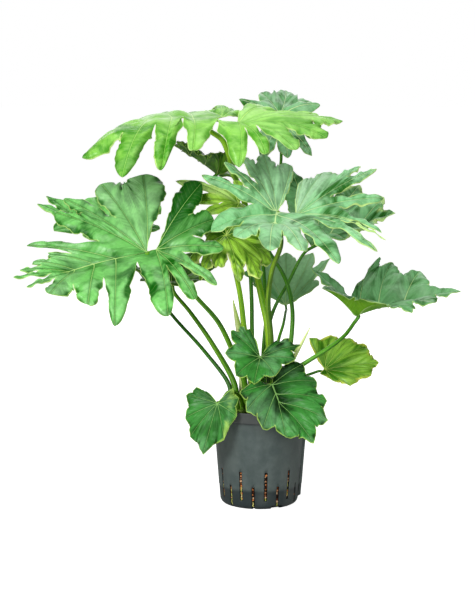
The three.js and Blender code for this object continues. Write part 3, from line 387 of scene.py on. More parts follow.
def place(column, row, depth):
    """The point at a depth behind the pot's axis that is seen at a column and row."""
    across = (column - PLANE_CENTRE[0]) / PLANE_DISTANCE
    above = (PLANE_CENTRE[1] - row) / PLANE_DISTANCE
    dip = math.radians(EYE_DIP)
    sight = np.array(
        [across, math.cos(dip) + above * math.sin(dip), above * math.cos(dip) - math.sin(dip)]
    )
    return EYE + sight * (depth - EYE[1]) / sight[1]


def blade_frame(aim):
    """Forward along the midrib, to its left, and up out of the upper face, as rows."""
    heading, pitch, roll = np.radians(aim)
    forward = np.array(
        [
            math.cos(pitch) * math.cos(heading),
            math.cos(pitch) * math.sin(heading),
            math.sin(pitch),
        ]
    )
    level = np.array([-math.sin(heading), math.cos(heading), 0])
    over = np.cross(forward, level)
    left = level * math.cos(roll) + over * math.sin(roll)
    return np.array([forward, left, np.cross(forward, left)])


def trace(root, axes, length, angles, tilts):
    """Points along a line with the given angles and tilts, in degrees, at the middle of each step."""
    a, t = np.radians(angles), np.radians(tilts)
    ways = np.stack([np.cos(t) * np.cos(a), np.cos(t) * np.sin(a), np.sin(t)], 1)
    steps = ways @ axes * (length / VEIN_SAMPLES)
    return root + np.vstack([np.zeros(3), np.cumsum(steps, 0)])


MIDDLES = (np.arange(VEIN_SAMPLES) + 0.5) / VEIN_SAMPLES


def vein(root, axes, sweep, angle, length, tilt, droop):
    angles = angle + sweep * (0.5 - MIDDLES)
    tilts = tilt * np.minimum(1, MIDDLES / FLAT_SHARE) - droop * MIDDLES
    return trace(root, axes, length, angles, tilts)


def vein_to(tip, root, axes, sweep, droop):
    """A vein with a given droop from its root to a tip, corrected by what it misses the tip by."""

    def polar(point):
        way = axes @ (point - root)
        length = np.linalg.norm(way)
        tilt = math.degrees(math.asin(way[2] / length))
        return np.array([math.degrees(math.atan2(way[1], way[0])), length, tilt])

    goal = polar(tip)
    angle, length, tilt = goal
    for _ in range(VEIN_CORRECTIONS):
        reached = polar(vein(root, axes, sweep, angle, length, tilt, droop)[-1])
        turn = goal[0] - reached[0]
        angle += turn - 360 * round(turn / 360)
        length *= goal[1] / reached[1]
        tilt += goal[2] - reached[2]
    return vein(root, axes, sweep, angle, length, tilt, droop)


def point_at(line, s):
    at = np.clip(np.asarray(s, float), 0, 1) * VEIN_SAMPLES
    i = np.minimum(at.astype(int), VEIN_SAMPLES - 1)
    part = (at - i)[..., None]
    return line[i] * (1 - part) + line[i + 1] * part


def frame_at(axes, line, s):
    i = min(int(s * VEIN_SAMPLES), VEIN_SAMPLES - 1)
    forward = unit(line[i + 1] - line[i])
    across = unit(axes[1] - forward * (axes[1] @ forward))
    return np.array([forward, across, np.cross(forward, across)])


def lobes_of(leaf):
    """The lobes in order round the leaf, each with its vein's line and where its web begins."""
    column, row, depth = leaf["hub"]
    scale = leaf.get("depth_scale", DEPTH_SCALE)
    rib = leaf.get("rib", NO_RIB)
    nodes = rib["nodes"]
    hub = place(column, row, depth * scale)
    axes = blade_frame(leaf["aim"])
    midrib = trace(hub, axes, rib["length"], rib["turn"] * MIDDLES, -rib["droop"] * MIDDLES)
    ears = [
        hub if ear is None else place(ear[0], ear[1], (depth + ear[2]) * scale)
        for ear in leaf.get("ears", (None, None))
    ]
    left_behind, right_behind = leaf["behind_hub"]
    tip_index = left_behind + len(nodes)
    last_before = len(leaf["lobes"]) - right_behind
    made = []
    for k, (column, row, beyond, droop, notch, *own) in enumerate(leaf["lobes"]):
        fullness = own[0] if own else leaf.get("fullness", 1)
        behind = k < left_behind or k >= last_before
        along = len(nodes) - max(1, abs(k - tip_index))
        share = nodes[along] / rib["length"] if nodes and not behind else 0
        ear = (ears[0] if k < left_behind else ears[1]) if behind else None
        root = ear if behind else point_at(midrib, share)
        local = frame_at(axes, midrib, share) if share > 0 else axes
        side = (k < tip_index) - (k > tip_index)
        line = vein_to(place(column, row, (depth + beyond) * scale), root, local, side * SWEEP, droop)
        length = np.linalg.norm(np.diff(line, axis=0), axis=1).sum()
        made.append(
            {
                "number": k,
                "line": line,
                "length": length,
                "notch": notch,
                "ear": ear,
                "share": share,
                "fullness": fullness,
            }
        )
    return made, hub, axes, midrib


def web_root(a, b, hub, midrib):
    if a["ear"] is not None and b["ear"] is not None:
        return a["ear"]
    if a["ear"] is not None or b["ear"] is not None:
        return hub
    return point_at(midrib, (a["share"] + b["share"]) / 2)


def smooth_line(points, steps):
    """A centripetal Catmull-Rom curve through the points, with some steps to each span."""
    points = np.array(points, float)
    ends = [2 * points[0] - points[1]], [2 * points[-1] - points[-2]]
    p = np.vstack([ends[0], points, ends[1]])
    out = []
    for a, b, c, d in zip(p, p[1:], p[2:], p[3:]):
        ka, kb, kc = (math.sqrt(np.linalg.norm(q - r)) for q, r in ((b, a), (c, b), (d, c)))
        start = ((b - a) / ka - (c - a) / (ka + kb) + (c - b) / kb) * kb
        end = ((c - b) / kb - (d - b) / (kb + kc) + (d - c) / kc) * kb
        t = (np.arange(steps) / steps)[:, None]
        square = -3 * b + 3 * c - 2 * start - end
        cube = 2 * b - 2 * c + start + end
        out.append(b + start * t + square * t**2 + cube * t**3)
    return np.vstack([*out, points[-1:]])


def lengths_along(path):
    """Distance from the first point to each point, along the path."""
    return np.concatenate([[0], np.cumsum(np.linalg.norm(np.diff(path, axis=0), axis=1))])


def swept(path, radii, sides, shape=None):
    """Rings of a tube along a path, turned as little as possible, with flat ends.

    shape(turn, share) scales the radius round the section and along the path. Round a path that
    goes up, turns start at the right and go over the back to the left.
    """
    ways = unit(np.gradient(path, axis=0))
    lengths = lengths_along(path)
    turns = np.arange(sides) * 2 * np.pi / sides
    side = np.array([1.0, 0, 0])
    rings = []
    for centre, way, radius, length in zip(path, ways, radii, lengths):
        side = unit(side - way * (side @ way))
        other = np.cross(way, side)
        reach = radius * (shape(turns, length / lengths[-1]) if shape else np.ones(sides))
        outwards = np.outer(np.cos(turns), side) + np.outer(np.sin(turns), other)
        rings.append(centre + reach[:, None] * outwards)
    count = len(path)
    points = np.vstack([*rings, path[:1], path[-1:]])
    faces = []
    for i in range(count - 1):
        for k in range(sides):
            a, b = i * sides + k, i * sides + (k + 1) % sides
            faces.append((a, b, b + sides, a + sides))
    first, last = count * sides, count * sides + 1
    for k in range(sides):
        following = (k + 1) % sides
        faces.append((first, following, k))
        faces.append((last, (count - 1) * sides + k, (count - 1) * sides + following))
    share = np.concatenate([np.repeat(lengths / lengths[-1], sides), [0, 1]])
    around = np.concatenate([np.tile(turns, count), [0, 0]])
    return points, faces, {"share": share, "turn": around, "length": share * lengths[-1]}


def joined(parts):
    """Points and faces of several meshes as those of one."""
    points, faces, count = [], [], 0
    for part_points, part_faces in parts:
        points.append(part_points)
        faces += [tuple(i + count for i in face) for face in part_faces]
        count += len(part_points)
    return np.vstack(points), faces


def piece(name, points, faces, materials, attributes=None, face_material=None, smooth=True):
    """A mesh object in metres from points in mm, with float attributes on its points."""
    mesh = bpy.data.meshes.new(name)
    mesh.from_pydata((np.asarray(points) * MM).tolist(), [], [tuple(f) for f in faces])
    mesh.validate()
    for key, values in (attributes or {}).items():
        layer = mesh.attributes.new(key, "FLOAT", "POINT")
        layer.data.foreach_set("value", np.asarray(values, np.float32))
    for material in materials:
        mesh.materials.append(material)
    if face_material is not None:
        mesh.polygons.foreach_set("material_index", np.asarray(face_material, np.int32))
    mesh.polygons.foreach_set("use_smooth", [smooth] * len(mesh.polygons))
    obj = bpy.data.objects.new(name, mesh)
    bpy.context.scene.collection.objects.link(obj)
    return obj


# ------------------------------------------------------------------ node helpers


def linear(code):
    """A #rrggbb colour as linear RGBA."""
    shares = [int(code[i : i + 2], 16) / 255 for i in (1, 3, 5)]
    return (*[c / 12.92 if c <= 0.04045 else ((c + 0.055) / 1.055) ** 2.4 for c in shares], 1)


class Shader:
    """A new material, with short ways to add nodes to it and to build up its base colour.

    Positions and the distances of bumps are in metres, and the meshes' attributes in mm.
    """

    def __init__(self, name, roughness=0.5, specular=0.5):
        self.material = bpy.data.materials.new(name)
        self.material.use_nodes = True
        self.nodes = self.material.node_tree.nodes
        self.links = self.material.node_tree.links
        self.surface = self.nodes["Principled BSDF"]
        self.set("Roughness", roughness)
        self.set("Specular IOR Level", specular)

    def put(self, value, socket):
        if isinstance(value, bpy.types.NodeSocket):
            self.links.new(value, socket)
        else:
            socket.default_value = value

    def set(self, key, value):
        """Sets or links one of the surface's inputs."""
        self.put(value, self.surface.inputs[key])

    def node(self, kind, inputs, output=0, **settings):
        """Adds a node, sets or links some of its inputs and returns one of its outputs."""
        made = self.nodes.new(f"ShaderNode{kind}")
        for key, value in settings.items():
            setattr(made, key, value)
        for key, value in inputs.items():
            self.put(value, made.inputs[key])
        return made.outputs[output]

    def math(self, operation, *values):
        return self.node("Math", dict(enumerate(values)), operation=operation)

    def times(self, first, second):
        return self.math("MULTIPLY", first, second)

    def plus(self, first, second):
        return self.math("ADD", first, second)

    def attribute(self, name):
        return self.node("Attribute", {}, "Fac", attribute_name=name)

    def position(self):
        return self.node("TexCoord", {}, "Object")

    def axis(self, letter):
        """The position along X, Y or Z, in metres."""
        return self.node("SeparateXYZ", {0: self.position()}, letter)

    def stretched(self, x, y, z):
        return self.node("VectorMath", {0: self.position(), 1: (x, y, z)}, operation="MULTIPLY")

    def vector(self, x, y, z=0.0):
        return self.node("CombineXYZ", {"X": x, "Y": y, "Z": z})

    def noise(self, scale, detail=3, where=None, roughness=0.5):
        inputs = {"Scale": scale, "Detail": detail, "Roughness": roughness}
        inputs["Vector"] = self.position() if where is None else where
        return self.node("TexNoise", inputs, "Fac")

    def between(self, value, low, high, start=0.0, end=1.0):
        """Runs smoothly from start to end as the value goes from low to high."""
        inputs = {"Value": value, "From Min": low, "From Max": high, "To Min": start, "To Max": end}
        return self.node("MapRange", inputs, "Result", interpolation_type="SMOOTHSTEP")

    def mix(self, share, first, second):
        return self.node("Mix", {0: share, 6: first, 7: second}, 2, data_type="RGBA")

    def colour(self, value):
        self.base = value
        self.set("Base Color", value)

    def blend(self, share, first, second):
        """Starts the base colour as a mix of two colours."""
        self.colour(self.mix(share, linear(first), linear(second)))

    def tint(self, share, code):
        """Mixes a share of a colour into the base colour."""
        self.colour(self.mix(share, self.base, linear(code)))

    def bump(self, height, distance, strength=1.0):
        inputs = {"Strength": strength, "Distance": distance, "Height": height}
        self.set("Normal", self.node("Bump", inputs))


# ------------------------------------------------------------------ leaf blades

BLADE_HALF_THICKNESS = 0.28
ROW_SPACING = 4.0  # between the rows of a lobe's mesh
ACROSS = np.array([0, 0.045, 0.11, 0.2, 0.32, 0.46, 0.6, 0.74, 0.88, 1])  # vein to margin
WELD_STEP = 1 / 50  # grid on which points that meet are found
CARRIED = ("vein", "edge", "side_vein", "from_vein", "along", "painted_shade_and_sheen", "relief")

# Main veins: their half-width at the tip, how much more it is at the root, and how deep their
# groove is above and how high their ridge is below
VEIN_TIP_WIDTH = 0.42
VEIN_ROOT_WIDTH = 1.15
VEIN_FADE = 1.5
VEIN_START = 0.8  # near its root a point is counted as this share of its way along from the vein
RIDGE_WIDTH = 0.9
VEIN_GROOVE = 0.45
VEIN_RIDGE = 0.7

# Side veins, which lie in shallow dips
SIDE_VEIN_SLANT = 0.75  # how far one runs forward for each step outwards
SIDE_VEIN_SPACING = 9.5
SIDE_VEIN_DIP = 0.13

# Swelling between main veins: its height as a share of the width, and the most of it
SWELL_SHARE = 0.16
SWELL_MOST = 5.0
SWELL_START = 30  # how far from a vein's root it is full
WEB_SWELL = 1.3
LOBE_SWELL = 0.9
LOBE_SWELL_PEAK = 0.85

# Blisters: uneven swellings all over the blade
BLISTER_WAVES = 9
BLISTER_LENGTHS = (35, 100)
BLISTER_HEIGHT = 1.1
BLISTER_START = 14  # how far from a main vein they are full
BLISTER_EDGE = 3  # and from the margin, where they start part of the way up
BLISTER_AT_EDGE = 0.4

# Free margins, which wave in and out with small teeth, ripple up and down and turn down
SINUS_PACE = 4  # how soon a margin is free, from a vein's root or from a notch
NOTCH_PACE = 5
WAVE_LENGTHS = (34, 56)
WAVE_FADE = 4
TOOTH_SHARE = 0.6  # height of the teeth, as a share of the waves
TOOTH_PACE = 3.3  # teeth for each wave
RIPPLE_WAVES = ((1, 1.1, 1.7), (0.35, 2.1, 1))  # share, pace and start of the ripples
RIPPLE_FULL_LENGTH = 110  # of a lobe
RIPPLE_FADE = 6
RIPPLE_RISE = 1.6
CURL_RISE = 2.5

# Colours of the upper face, its painted sheen, its deeper green (also the colour of its painted
# shade), its veins and its margin, and of the lower face and its deeper green and painted shade
TONE_PARTS = ("upper", "painted_sheen", "deep", "vein", "margin", "under", "under_deep")
TONES = {
    "fresh": ("#88ca50", "#b0e484", "#3c8c18", "#bce478", "#d0ec90", "#88b834", "#689820"),
    "grey_green": ("#84c886", "#b0dcb0", "#24641a", "#cce8a0", "#c0e084", "#80bc2c", "#5c9a20"),
    "mid": ("#76c864", "#a8e09c", "#0c5a05", "#b4dc80", "#bce480", "#78a82c", "#548818"),
    "lime": ("#aadc46", "#ccf08c", "#2a6400", "#c8e46c", "#dcf088", "#9cc830", "#78a818"),
    "dark": ("#40923a", "#80c080", "#011c00", "#90c46c", "#b8e068", "#64982a", "#447818"),
    "yellowing": ("#8cc040", "#b4d868", "#3c7c10", "#c8dc70", "#d4dc58", "#94b038", "#74901c"),
    # leaves that lie under others: a darker upper face, painted shade
    "shaded": ("#54882c", "#7ca850", "#2c581c", "#d0e48c", "#a0b858", "#80b83c", "#245c08"),
}

# Colours of a stalk's light and dark streaks, and how much darker its lower half is
STALK_TONES = {
    "pale": ("#a8d830", "#5c9c08", 0.0),
    "olive": ("#8cb42c", "#245804", 0.9),
    "fresh": ("#78b820", "#246404", 0.15),
    "mid": ("#60a824", "#24640a", 0.0),
    "deep": ("#3c8418", "#104404", 0.0),
}

# The tables from here to MARGINS hold values by a leaf's name, by its tone, or for all others.
# How strongly the blades shine: specular, coat and the share of their painted sheen
GLOSS = {
    "all": (0.12, 0.3, 0.35), "dark": (0.1, 0.2, 0.5), "lime": (0.12, 0.35, 0.4),
    "yellowing": (0.12, 0.3, 0.2),
}
DULL = 0.15  # share of the shine that is left where the green is deepest

# How much painted shade darkens a blade's hollows, and between which heights in mm
HOLLOW_PAINTED_SHADE = {"all": 0.85, "grey_green": 0.3, "fresh": 0.55, "dark": 0.72}
HOLLOW_LOW = -2.5
HOLLOW_HIGH = 2.0

# How much painted shade darkens both sides of a main vein, and how far out the vein's pale line
# reaches, in half-widths of the vein
CHANNEL_PAINTED_SHADE = {"all": 0.5, "dark": 0.2, "grey_green": 0.2, "mid": 0.4, "fresh": 0.35}
VEIN_REACH = {"all": 0.8, "grey_green": 1.35, "dark": 0.9}

# How strongly the blades are streaked (their own uneven green, partly painted shade of the folds),
# how strong the painted shade round the hub is (painted sheen below 0) and how far out it reaches,
# and how light the deepest streaks are
STREAKS = {
    "all": (0.5, 0.2, 0.3, 0.0),
    "dark": (0.3, 0.8, 0.4, 0.0),
    "top": (0.5, -0.25, 0.6, 0.0),
    "left": (0.5, 0.0, 0.3, 0.0),
    "front_low": (0.25, 1.0, 0.48, 0.0),
    "hanging": (0.3, 0.2, 0.25, 0.45),
    "lime": (0.6, 0.6, 0.4, 0.0),
    # the back leaf lies in the shade of others: its deepest streaks are lifted, painted light
    "back": (0.3, 0.1, 0.2, 0.6),
}

# How much the free margins wave in and out, how many mm they ripple, and how they turn down
WAVES = {
    "all": (0.05, 2.6, 0.14),
    "top": (0.07, 3.4, 0.2),
    "left": (0.06, 3.4, 0.2),
    "right": (0.04, 2.6, 0.12),
    "young": (0.06, 5.0, 0.3),
    "hanging": (0.02, 3.4, 0.12),
    "front_low": (0.02, 5.5, 0.08),
    "low_centre": (0.02, 5.0, 0.08),
    "low_right": (0.02, 3.4, 0.08),
    "upper_back": (0.02, 2.0, 0.1),
    "back": (0.02, 1.8, 0.08),
}

# How many mm further in the pale margin reaches in places, and right of which column of the picture
MARGINS = {
    "all": (0, 0),
    "hanging": (16, 214),
    "low_right": (7, 300),
    "variegated": (12, 340),
    "right": (4, 340),
    "young": (5, 170),
}
MARGIN_STRENGTH = 0.75

# Painted shade on some lobes, and painted sheen on those below 0, by their number in the leaf's list
LOBE_PAINTED_SHADE_AND_SHEEN = {
    "left": {
        0: 0.95, 1: 0.55, 2: 0.15, 3: -0.2, 4: 0.15, 6: -0.15, 8: -0.3, 9: -0.2, 12: -0.3, 13: -0.3,
        14: 0.15, 16: -0.15, 17: -0.45, 18: -0.6,
    },
    "top": {
        0: -0.7, 1: -0.6, 2: -0.5, 3: -0.2, 4: -0.3, 5: 0.2, 7: -0.15, 8: 0.05, 9: 0.15, 12: 0.25,
        13: 0.2,
    },
    "right": {
        0: -1.0, 1: -1.0, 2: -0.3, 3: 0.1, 9: -0.3, 10: -0.3, 11: -0.2, 14: -0.1, 15: -0.4, 16: -0.5,
        17: -0.55,
    },
    "right_low": {0: 0.5, 1: 0.1, 3: 0.15, 4: 0.3, 5: 0.35, 6: 0.3, 8: 0.3},
    "front_low": {0: 0.8, 1: 0.4, 5: -0.15, 6: -0.4, 7: -0.4, 8: 0.1},
    "upper_centre": {2: 0.3, 4: -1.0},
    "hanging": {0: 0.2, 7: 0.3, 8: 0.4, 9: 0.4},
    "low_centre": {2: 0.35, 10: 0.4},
    # the back leaf's lobes get painted sheen against the shade it lies in
    "back": {0: -0.5, 2: -0.8, 3: -0.8, 4: -0.7, 5: -0.5, 6: -0.6},
    "upper_back": {0: 0.2, 5: 0.2, 6: 0.35, 7: 0.35, 8: 0.35},
}


def look(leaf, table):
    """What a table says for a leaf's name or its tone or, failing both, for all leaves."""
    return table.get(leaf["name"], table.get(leaf["tone"], table["all"]))


def sinus_margin(leaf, lobe, towards, shares, on_vein, axes):
    """The margin beside the open sinus, and how freely it waves along the vein."""
    sinus, rise = leaf.get("sinus", (FREE_SIDE, FREE_SIDE))[0 if towards > 0 else 1]
    roundness, taper = leaf.get("tips", LOBE_TIPS)
    step = 1 / VEIN_SAMPLES
    along = unit(point_at(lobe["line"], shares + step) - point_at(lobe["line"], shares - step))
    across = unit(np.cross(axes[2], along)) * towards
    waist = 1 - (1 - lobe["fullness"]) * np.minimum(1, shares / WAIST_SHARE)
    span = np.linalg.norm(lobe["line"][-1] - lobe["line"][0])
    swell = FREE_SWELL * shares**rise * (1 - shares**roundness) ** taper * waist
    return on_vein + across * (span * sinus * swell)[:, None], smoothstep(shares * SINUS_PACE)


def web_margin(leaf, lobe, neighbour, towards, shares, beyond, ribs):
    """Halfway to the neighbour up to the notch, and the margin past it, and how freely it waves."""
    hub, _, midrib = ribs
    roundness, taper = leaf.get("tips", LOBE_TIPS)
    notch = lobe["notch"] if towards < 0 else neighbour["notch"]
    s = np.where(beyond > 0, notch + (1 - notch) * beyond, notch * shares / WEB_SHARE)
    near = point_at(lobe["line"], s)
    reach = (point_at(neighbour["line"], s) - near) / 2
    waist = 1 - (1 - lobe["fullness"]) * np.minimum(1, beyond / WAIST_SHARE)
    waist = waist * (1 - beyond**roundness) ** taper
    edge = near + reach * waist[:, None]
    edge[0] = web_root(lobe, neighbour, hub, midrib)
    return edge, smoothstep(beyond * NOTCH_PACE)


def half_lobe(leaf, lobe, neighbour, towards, rows, ribs, rng):
    """Grid of a half lobe: vein to margin across, root to tip along, with what each point is."""
    webbed = np.arange(rows) / rows * WEB_SHARE
    crowded = 1 - (1 - np.arange(rows + 1) / rows) ** ROW_CROWDING
    shares = np.concatenate([webbed, WEB_SHARE + (1 - WEB_SHARE) * crowded])
    beyond = np.clip((shares - WEB_SHARE) / (1 - WEB_SHARE), 0, 1)
    on_vein = point_at(lobe["line"], shares)
    if neighbour is None:
        edge, free = sinus_margin(leaf, lobe, towards, shares, on_vein, ribs[1])
    else:
        edge, free = web_margin(leaf, lobe, neighbour, towards, shares, beyond, ribs)
    notch = edge[rows]
    width = np.linalg.norm(edge - on_vein, axis=1)
    arc = shares * lobe["length"]
    turns = 2 * np.pi * arc / rng.uniform(*WAVE_LENGTHS)
    phase = rng.uniform(0, 2 * np.pi)
    teeth = np.sin(turns + phase) + TOOTH_SHARE * np.sin(TOOTH_PACE * turns + 2 * phase)
    scallop = 1 + look(leaf, WAVES)[0] * free * teeth * (1 - beyond**WAVE_FADE)
    edge = on_vein + (edge - on_vein) * scallop[:, None]
    grid = on_vein[:, None] + (edge - on_vein)[:, None] * ACROSS[None, :, None]
    # distance from the margin: beside it past the notch, towards the notch in the web
    from_edge = width[:, None] * (1 - ACROSS[None])
    if neighbour is not None:
        back = np.linalg.norm(edge - notch, axis=1) * (beyond <= 0)
        from_edge = np.hypot(from_edge, back[:, None])
    from_vein = width[:, None] * ACROSS[None]
    along = np.repeat(arc[:, None], len(ACROSS), 1)
    share = np.repeat(shares[:, None], len(ACROSS), 1)
    thick = VEIN_TIP_WIDTH + VEIN_ROOT_WIDTH * (1 - share) ** VEIN_FADE
    side_vein = along - SIDE_VEIN_SLANT * from_vein + rng.uniform(0, SIDE_VEIN_SPACING)
    nearest_vein = np.minimum(from_vein, VEIN_START * along)
    relief = swelling(width, along, side_vein, free)
    values = {
        "relief": relief + rippling(leaf, lobe, width, turns, phase, free, beyond),
        "vein": nearest_vein / thick,
        "thick": thick,
        "edge": from_edge,
        "side_vein": side_vein,
        "from_vein": nearest_vein,
        "along": share,
        "painted_shade_and_sheen": lobe_painted_shade_and_sheen(leaf, lobe, neighbour, free),
    }
    return grid, values


def swelling(width, along, side_vein, free):
    """Height of the blade between its main veins, less at each side vein."""
    high = np.minimum(SWELL_SHARE * width, SWELL_MOST)[:, None] * smoothstep(along / SWELL_START)
    in_web = np.sin(ACROSS * np.pi / 2)[None] ** WEB_SWELL
    in_lobe = np.sin(ACROSS * np.pi * LOBE_SWELL_PEAK)[None]
    quilt = high * (in_web * (1 - free[:, None]) + LOBE_SWELL * in_lobe * free[:, None])
    dips = SIDE_VEIN_DIP * np.cos(2 * np.pi * side_vein / SIDE_VEIN_SPACING)
    return quilt - dips * np.sin(np.pi * ACROSS)[None] * smoothstep(along / SWELL_START)


def rippling(leaf, lobe, width, turns, phase, free, beyond):
    """How the free margin goes up and down along the vein and turns down across it."""
    _, lift, fold = look(leaf, WAVES)
    height = lift * min(1.0, lobe["length"] / RIPPLE_FULL_LENGTH)
    ripple = sum(
        share * np.sin(pace * turns + start * phase) for share, pace, start in RIPPLE_WAVES
    )
    ripple = (height * free * (1 - beyond**RIPPLE_FADE) * ripple)[:, None]
    curl = -fold * (width * free)[:, None]
    return ripple * ACROSS[None] ** RIPPLE_RISE + curl * ACROSS[None] ** CURL_RISE


def lobe_painted_shade_and_sheen(leaf, lobe, neighbour, free):
    """Painted shade, painted sheen below 0: each lobe has its own share, and they blend across the web."""
    own = painted_shade_and_sheen_of(leaf, lobe)
    beside = own if neighbour is None else painted_shade_and_sheen_of(leaf, neighbour)
    blend = ACROSS[None] ** 2 * (1 - free[:, None]) / 2
    return own + (beside - own) * blend


def painted_shade_and_sheen_of(leaf, lobe):
    return LOBE_PAINTED_SHADE_AND_SHEEN.get(leaf["name"], {}).get(lobe["number"], 0.0)


def weld(points, faces, values):
    """Merges points that meet, averages what they carry, and drops flat faces."""
    keys = np.round(points / WELD_STEP).astype(np.int64)
    _, first, to = np.unique(keys, axis=0, return_index=True, return_inverse=True)
    to = to.ravel()
    count = np.bincount(to)
    welded = {key: np.bincount(to, value) / count for key, value in values.items()}
    faces = to[faces]
    keep = (faces[:, 0] != faces[:, 1]) & (faces[:, 1] != faces[:, 2]) & (faces[:, 0] != faces[:, 2])
    return points[first], faces[keep], welded


def point_normals(points, faces):
    a, b, c = (points[faces[:, k]] for k in range(3))
    normal = np.cross(b - a, c - a)
    total = np.zeros_like(points)
    for k in range(3):
        np.add.at(total, faces[:, k], normal)
    return unit(total)


def blade_sheet(leaf):
    lobes, *ribs = lobes_of(leaf)
    rng = np.random.default_rng(sum(map(ord, leaf["name"])))
    rows = math.ceil(max(lobe["length"] for lobe in lobes) / ROW_SPACING / 2)
    points, faces, values, count = [], [], {}, 0
    for k, lobe in enumerate(lobes):
        for towards in (1, -1):
            beside = k - towards
            neighbour = lobes[beside] if 0 <= beside < len(lobes) else None
            grid, here = half_lobe(leaf, lobe, neighbour, towards, rows, ribs, rng)
            high, wide = grid.shape[:2]
            at = count + np.arange(high * wide).reshape(high, wide)
            a, b, c, d = at[:-1, :-1], at[:-1, 1:], at[1:, :-1], at[1:, 1:]
            pair = [(a, c, d), (a, d, b)] if towards > 0 else [(a, d, c), (a, b, d)]
            faces += [np.stack([p.ravel() for p in triangle], 1) for triangle in pair]
            points.append(grid.reshape(-1, 3))
            for key, value in here.items():
                values.setdefault(key, []).append(np.broadcast_to(value, (high, wide)).ravel())
            count += high * wide
    values = {key: np.concatenate(parts) for key, parts in values.items()}
    return weld(np.vstack(points), np.vstack(faces), values)


def boundary(faces):
    """Edges, as pairs of points, that only one face has."""
    edges = np.vstack([faces[:, [0, 1]], faces[:, [1, 2]], faces[:, [2, 0]]])
    known = {(a, b) for a, b in edges.tolist()}
    return [(a, b) for a, b in edges.tolist() if (b, a) not in known]


def blisters(points, rng):
    """An uneven swelling of the blade, the sum of waves that cross it in every direction."""
    height = np.zeros(len(points))
    for _ in range(BLISTER_WAVES):
        way = unit(rng.normal(size=3)) * 2 * np.pi / rng.uniform(*BLISTER_LENGTHS)
        height += np.sin(points @ way + rng.uniform(0, 2 * np.pi))
    return height * (2 / BLISTER_WAVES) ** 0.5


def make_blade(leaf):
    points, faces, values = blade_sheet(leaf)
    normals = point_normals(points, faces)
    off_edge = smoothstep(values["edge"] / BLISTER_EDGE + BLISTER_AT_EDGE)
    away = smoothstep(values["from_vein"] / BLISTER_START) * off_edge
    uneven = blisters(points, np.random.default_rng(len(points)))
    values["relief"] = values["relief"] + BLISTER_HEIGHT * uneven * away
    ridge = np.exp(-((values["vein"] / RIDGE_WIDTH) ** 2))
    high = values["relief"] + BLADE_HALF_THICKNESS - VEIN_GROOVE * ridge
    low = values["relief"] - (BLADE_HALF_THICKNESS + VEIN_RIDGE * values["thick"] * ridge)
    count = len(points)
    wall = [(a, a + count, b + count, b) for a, b in boundary(faces)]
    all_faces = [*map(tuple, faces.tolist()), *map(tuple, (faces[:, ::-1] + count).tolist()), *wall]
    blade = piece(
        f"leaf_{leaf['name']}",
        np.vstack([points + normals * high[:, None], points + normals * low[:, None]]),
        all_faces,
        [blade_material(leaf), blade_material(leaf, lower=True)],
        {key: np.tile(values[key], 2) for key in CARRIED},
        [0] * len(faces) + [1] * len(faces) + [0] * len(wall),
    )
    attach(blade, "root")
    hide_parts(f"blade_{leaf['name']}")


def blade_material(leaf, lower=False):
    """One face of a blade: streaked green, painted shade in the hollows, painted sheen, pale veins and
    margin.
    """
    tone = dict(zip(TONE_PARTS, TONES[leaf["tone"]]))
    if lower:
        tone.update(upper=tone["under"], deep=tone["under_deep"])
    specular, coat, painted_sheen = look(leaf, GLOSS)
    m = Shader(f"blade_{leaf['name']}_{'under' if lower else 'upper'}", specular=specular)
    cloud = m.between(m.noise(13, 4), 0.3, 0.6)
    streak, height = streaked_green_and_painted_light(m, leaf, tone, cloud, 0 if lower else painted_sheen)
    # painted shade in the hollows and on the margins that turn down
    hollow_painted_shade = m.between(m.attribute("relief"), HOLLOW_LOW, HOLLOW_HIGH, look(leaf, HOLLOW_PAINTED_SHADE), 0)
    m.tint(hollow_painted_shade, tone["deep"])
    stripe, hub = pale_veins_and_painted_shade(m, leaf, tone, cloud)
    pale_margin(m, leaf, tone)
    shine = m.times(m.between(hub, 0, 0.8, 1, DULL), m.between(height, 0.2, 0.8, DULL, 1))
    shine = m.times(shine, m.between(hollow_painted_shade, 0, 0.5, 1, DULL))
    m.set("Coat Weight", m.times(shine, 0 if lower else coat))
    m.set("Coat Roughness", 0.3)
    smoothest, roughest = (0.45, 0.62) if lower else (0.3, 0.44)
    m.set("Roughness", m.between(m.noise(35, 3), 0.2, 0.8, smoothest, roughest))
    lift = m.plus(m.times(stripe, 0.1), m.times(streak, 1.6))
    m.bump(m.plus(lift, m.times(m.noise(260, 2), 0.3)), 0.0011, 0.6)
    return m.material


def streaked_green_and_painted_light(m, leaf, tone, cloud, painted_sheen):
    """Green with streaks that run out from the main veins along the side veins: partly the blade's own
    uneven tone, partly painted shade of its folds, with painted sheen and painted shade by lobe.
    """
    strand = m.times(m.attribute("side_vein"), 0.038)
    outwards = m.times(m.attribute("from_vein"), 0.013)
    streak = m.noise(1.0, 4, m.vector(strand, outwards, m.times(m.attribute("vein"), 0.004)))
    streaked, _, _, least = look(leaf, STREAKS)
    drawn = m.between(streak, 0.36, 0.62, 0, streaked)
    height = m.math("MULTIPLY_ADD", cloud, 1 - streaked, drawn)
    m.blend(m.between(height, 0.15, 0.8, least, 1), tone["deep"], tone["upper"])
    # patches of painted sheen: a pale colour laid on as a painted highlight
    m.tint(m.between(m.noise(24, 3), 0.5, 0.66, 0, painted_sheen), tone["painted_sheen"])
    # painted shade by lobe, and painted sheen where the lobe's share is below 0
    m.tint(m.attribute("painted_shade_and_sheen"), tone["deep"])
    m.tint(m.times(m.attribute("painted_shade_and_sheen"), -1.0), tone["painted_sheen"])
    m.tint(m.between(m.noise(140, 3), 0.3, 0.8, 0, 0.2), tone["deep"])
    return streak, height


